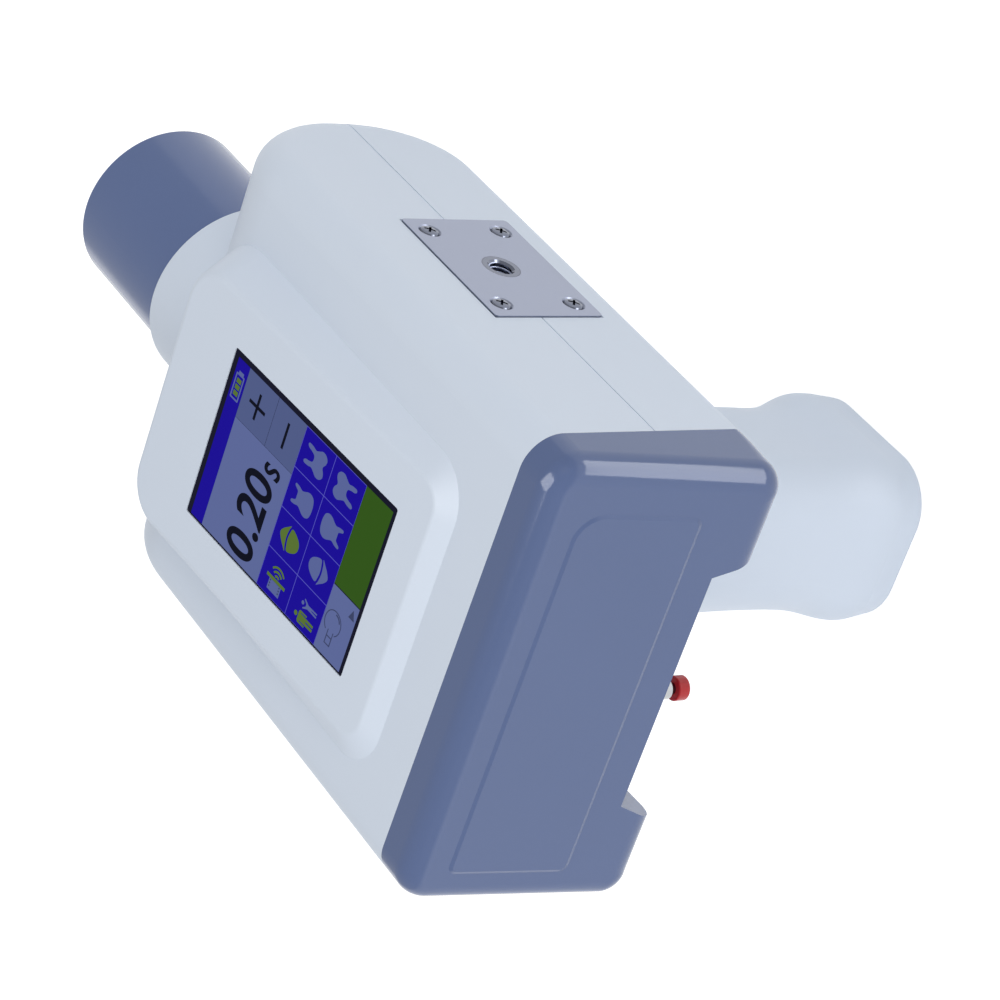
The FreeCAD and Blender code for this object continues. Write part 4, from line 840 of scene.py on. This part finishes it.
class UNIT_OT_plate(bpy.types.Operator):
    """Brushed side plate, its screws and the threaded tripod socket"""
    bl_idname = "xray_unit.plate"
    bl_label = "Side plate"

    def execute(self, context):
        colour = context.scene.xray_finish.steel
        sizes = context.scene.xray_hardware
        # Brushed stainless sheet, lines along the unit: the shine is drawn out across them.
        # The brush lines are drawn 0.3 mm apart, coarser than real, so that they show.
        brushed = surface("brushed_stainless_sheet", colour, 0.34, metallic=1.0, grain=0.3,
                          relief=0.004, mottle=0.06, stretch=(0.04, 1, 1))
        # Turned and polished stainless, its colour painted darker than the sheet to stand in for the dark
        # surroundings that it reflects, with sharp bright glints.
        turned = surface("turned_stainless_painted_dark", shade(colour, TURNED_PAINTED_DARK), 0.1, metallic=1.0, grain=0.4,
                         rough_spread=0.03)
        # Cut stainless thread: the tool marks scatter light, and its colour is painted lighter to stand in for
        # light in the bore, so the bore isn't black.
        cut = surface("cut_stainless_thread_painted_light", shade(colour, THREAD_PAINTED_LIGHT), 0.5, metallic=1.0, grain=0.3,
                      mottle=0.08)
        dress(brushed, "mount_plate")
        dress(turned, "threaded_insert", "mount_plate_screws", "button_plunger")
        low, high = (Vector(c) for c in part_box("mount_plate_screws"))
        screw = cross_headed(turned_body(SCREW_PROFILE))
        screws = []
        for x in (low.x + SCREW_HEAD * MM, high.x - SCREW_HEAD * MM):
            for z in (low.z + SCREW_HEAD * MM, high.z - SCREW_HEAD * MM):
                one = screw.copy()
                one.transform(Matrix.Translation((x, low.y, z)) @ Matrix.Rotation(math.radians(-90), 4, "X")
                              @ Matrix.Scale(MM, 4))
                screws.append(one)
        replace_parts(finish_piece("plate_screw_heads", tidy(merged(screws), 1e-7), turned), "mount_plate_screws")
        lo, hi = (Vector(c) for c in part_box("threaded_insert"))
        length = hi.y - lo.y - 2 * THREAD_SHORT * MM
        ridge = sizes.thread_depth
        thread = grown(coil_tree, "insert_thread", {
            "Radius": INSERT_BORE * MM + THREAD_SUNK * ridge, "Height": length,
            "Turns": length / sizes.thread_pitch, "Wire Radius": ridge, "Steps": THREAD_STEPS,
            "Profile Sides": THREAD_SIDES, "Finish": cut})
        centre = (lo + hi) / 2
        thread.transform(Matrix.Translation((centre.x, lo.y + THREAD_SHORT * MM, centre.z))
                         @ Matrix.Rotation(math.radians(-90), 4, "X"))
        finish_piece("insert_thread", thread, cut)
        return {"FINISHED"}


SPRING_WIRE = 0.32          # radius of the wire in millimetres
SPRING_STEPS, SPRING_SIDES = 28, 8      # steps in a turn, sides of the wire


def coil_spring(node, direction, turns):
    """Wound wire spring in the place of a plain CAD spring."""
    lo, hi = (Vector(c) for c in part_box(node))
    # Drawn spring wire: bright grey steel that glints along each turn.
    steel = surface(node + "_drawn_wire", linear("#9A9DA3"), 0.3, metallic=1.0, grain=0.5)
    length = abs((hi - lo).dot(direction))
    across = hi - lo - direction * (hi - lo).dot(direction)
    radius = max(abs(c) for c in across) / 2
    wire = SPRING_WIRE * MM
    mesh = grown(coil_tree, node + "_coil", {
        "Radius": radius - wire, "Height": length - 2 * wire, "Turns": turns,
        "Wire Radius": wire, "Steps": int(SPRING_STEPS * turns), "Profile Sides": SPRING_SIDES,
        "Finish": steel})
    mesh.transform(Matrix.Translation((0, 0, wire)))
    middle = (lo + hi) / 2
    start = middle - direction * (length / 2)
    mesh.transform(Matrix.Translation(start) @ direction.to_track_quat("Z", "Y").to_matrix().to_4x4())
    piece = finish_piece(node + "_coil", mesh, steel)
    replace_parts(piece, node)
    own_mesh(piece)


class UNIT_OT_button(bpy.types.Operator):
    """Red push button and the two return springs"""
    bl_idname = "xray_unit.button"
    bl_label = "Push button and springs"

    def execute(self, context):
        sizes = context.scene.xray_hardware
        # Moulded ABS cap in red, polished: small sharp highlights.
        red = surface("moulded_abs_red", context.scene.xray_finish.button, 0.15, ior=1.4, grain=0.4,
                      mottle=0.05)
        dress(red, "button_cap")
        # Nickel-plated brass: pale metal with a soft shine, hardly warmer than steel.
        nickel = surface("nickel_plated_brass", linear("#B2B4B6"), 0.2, metallic=1.0, grain=0.4)
        dress(nickel, "button_bushing", "button_nuts")
        coil_spring("button_spring", Vector((0, 0, 1)),
                    sizes.button_turns)
        coil_spring("trigger_spring", Vector((1, 0, 0)),
                    sizes.trigger_turns)
        return {"FINISHED"}


# ---- inner parts -----------------------------------------------------------
class UNIT_OT_inner(bpy.types.Operator):
    """Finishes of the parts inside the housing and grip"""
    bl_idname = "xray_unit.inner"
    bl_label = "Inner parts"

    def execute(self, context):
        # Sand-cast and scraped lead: dull blue-grey with uneven patches.
        dress(surface("cast_lead", linear("#5B6068"), 0.55, metallic=1.0, grain=1.5, relief=0.03,
                      mottle=0.12), "lead_liner", "lead_collimator")
        # Rolled aluminium sheet: pale, faint rolling lines.
        dress(surface("rolled_aluminium", linear("#C9CBCF"), 0.36, metallic=1.0, grain=0.4,
                      stretch=(0.1, 1, 1)), "beam_filter", "filter_ring", "screen_bracket",
              "grip_bracket", "plate_backing", "tube_saddles")
        # Epoxy-painted cast tank: black with a fine orange-peel.
        dress(surface("epoxy_painted_casting", linear("#1E1F22"), 0.4, grain=1.2, relief=0.03),
              "tube_head_tank", "tube_head_lid")
        # Zinc-plated steel screws: bright with a faint blue cast.
        dress(surface("zinc_plated_steel", linear("#B4B8BF"), 0.28, metallic=1.0, grain=0.5),
              "collar_screws", "tank_screws", "screen_screws", "board_screws", "handle_screws",
              "foot_screws", "grip_bolts", "housing_screws")
        # Borosilicate tube glass: clear, with thin sharp reflections.
        glass = surface("borosilicate_glass", linear("#E9EFEC"), 0.05, ior=1.47, grain=6.0, mottle=0.01,
                        rough_spread=0.01)
        glass.node_tree.nodes["Principled BSDF"].inputs["Transmission Weight"].default_value = 1.0
        dress(glass, "xray_tube_glass")
        # Machined copper and polished nickel steel of the tube's electrodes.
        dress(surface("machined_copper", linear("#B87653"), 0.3, metallic=1.0, grain=0.4),
              "xray_tube_anode")
        dress(surface("polished_nickel_steel", linear("#A9A79F"), 0.2, metallic=1.0, grain=0.4),
              "xray_tube_cathode")
        # Varnished winding: glossy brown.
        dress(surface("varnished_winding", linear("#6B3D1B"), 0.3, grain=0.5, relief=0.05,
                      mottle=0.15, stretch=(1, 1, 6)), "hv_transformer")
        # Cast epoxy block: near black with an even satin shine.
        dress(surface("cast_epoxy_block", linear("#22232A"), 0.35), "hv_multiplier")
        # Closed-cell foam strip: black, dull, pitted.
        dress(surface("closed_cell_foam", linear("#101010"), 0.85, grain=0.6, relief=0.1),
              "screen_gasket")
        # Moulded black polycarbonate and nylon: satin black, the nylon a little duller.
        dress(surface("moulded_black_polycarbonate", linear("#17181B"), 0.4, grain=0.6, relief=0.01),
              "lcd_module", "beeper", "battery_tray", "trigger_switch", "button_switch")
        dress(surface("moulded_black_nylon", linear("#121214"), 0.45, grain=0.6, relief=0.015),
              "charging_socket")
        # Solder mask over copper tracks: green, glossy, faintly striped.
        dress(surface("solder_mask_green", linear("#14492A"), 0.3, grain=1.2, relief=0.02,
                      mottle=0.18, stretch=(1, 4, 1)), "display_board", "main_board",
              "drive_board", "battery_board")
        # Turned brass: warm yellow metal with a soft shine.
        dress(surface("turned_brass", linear("#C2A05A"), 0.28, metallic=1.0, grain=0.4),
              "board_standoffs", "drive_standoffs")
        # Shrink wrap on the cells: glossy blue film.
        dress(surface("shrink_wrapped_cell", linear("#2F5590"), 0.25, relief=0.01),
              "battery_cells")
        return {"FINISHED"}


class UNIT_PT_panel(bpy.types.Panel):
    """Lists the steps that make the unit"""
    bl_label = "X-ray Unit"
    bl_idname = "UNIT_PT_panel"
    bl_space_type = "VIEW_3D"
    bl_region_type = "UI"
    bl_category = "X-ray Unit"

    def draw(self, context):
        for kind in OPERATORS:
            self.layout.operator(kind.bl_idname)
        for group in (context.scene.xray_finish, context.scene.xray_display,
                      context.scene.xray_hardware, context.scene.xray_stage):
            for name in group.__annotations__:
                self.layout.prop(group, name)


OPERATORS = (UNIT_OT_shell, UNIT_OT_cap, UNIT_OT_display_ground, UNIT_OT_display_icons,
             UNIT_OT_plate, UNIT_OT_button, UNIT_OT_inner, UNIT_OT_stage)
GROUPS = {"xray_finish": FinishSettings, "xray_display": DisplaySettings,
          "xray_hardware": HardwareSettings, "xray_stage": StageSettings}


def register():
    for kind in (*GROUPS.values(), *OPERATORS, UNIT_PT_panel):
        bpy.utils.register_class(kind)
    for name, kind in GROUPS.items():
        setattr(bpy.types.Scene, name, bpy.props.PointerProperty(type=kind))


def unregister():
    for name in GROUPS:
        delattr(bpy.types.Scene, name)
    for kind in reversed((*GROUPS.values(), *OPERATORS, UNIT_PT_panel)):
        bpy.utils.unregister_class(kind)


def main():
    register()
    bpy.ops.xray_unit.shell()
    bpy.ops.xray_unit.cap()
    bpy.ops.xray_unit.display_ground()
    bpy.ops.xray_unit.display_icons()
    bpy.ops.xray_unit.plate()
    bpy.ops.xray_unit.button()
    bpy.ops.xray_unit.inner()
    bpy.ops.xray_unit.stage()


if __name__ == "__main__":
    main()
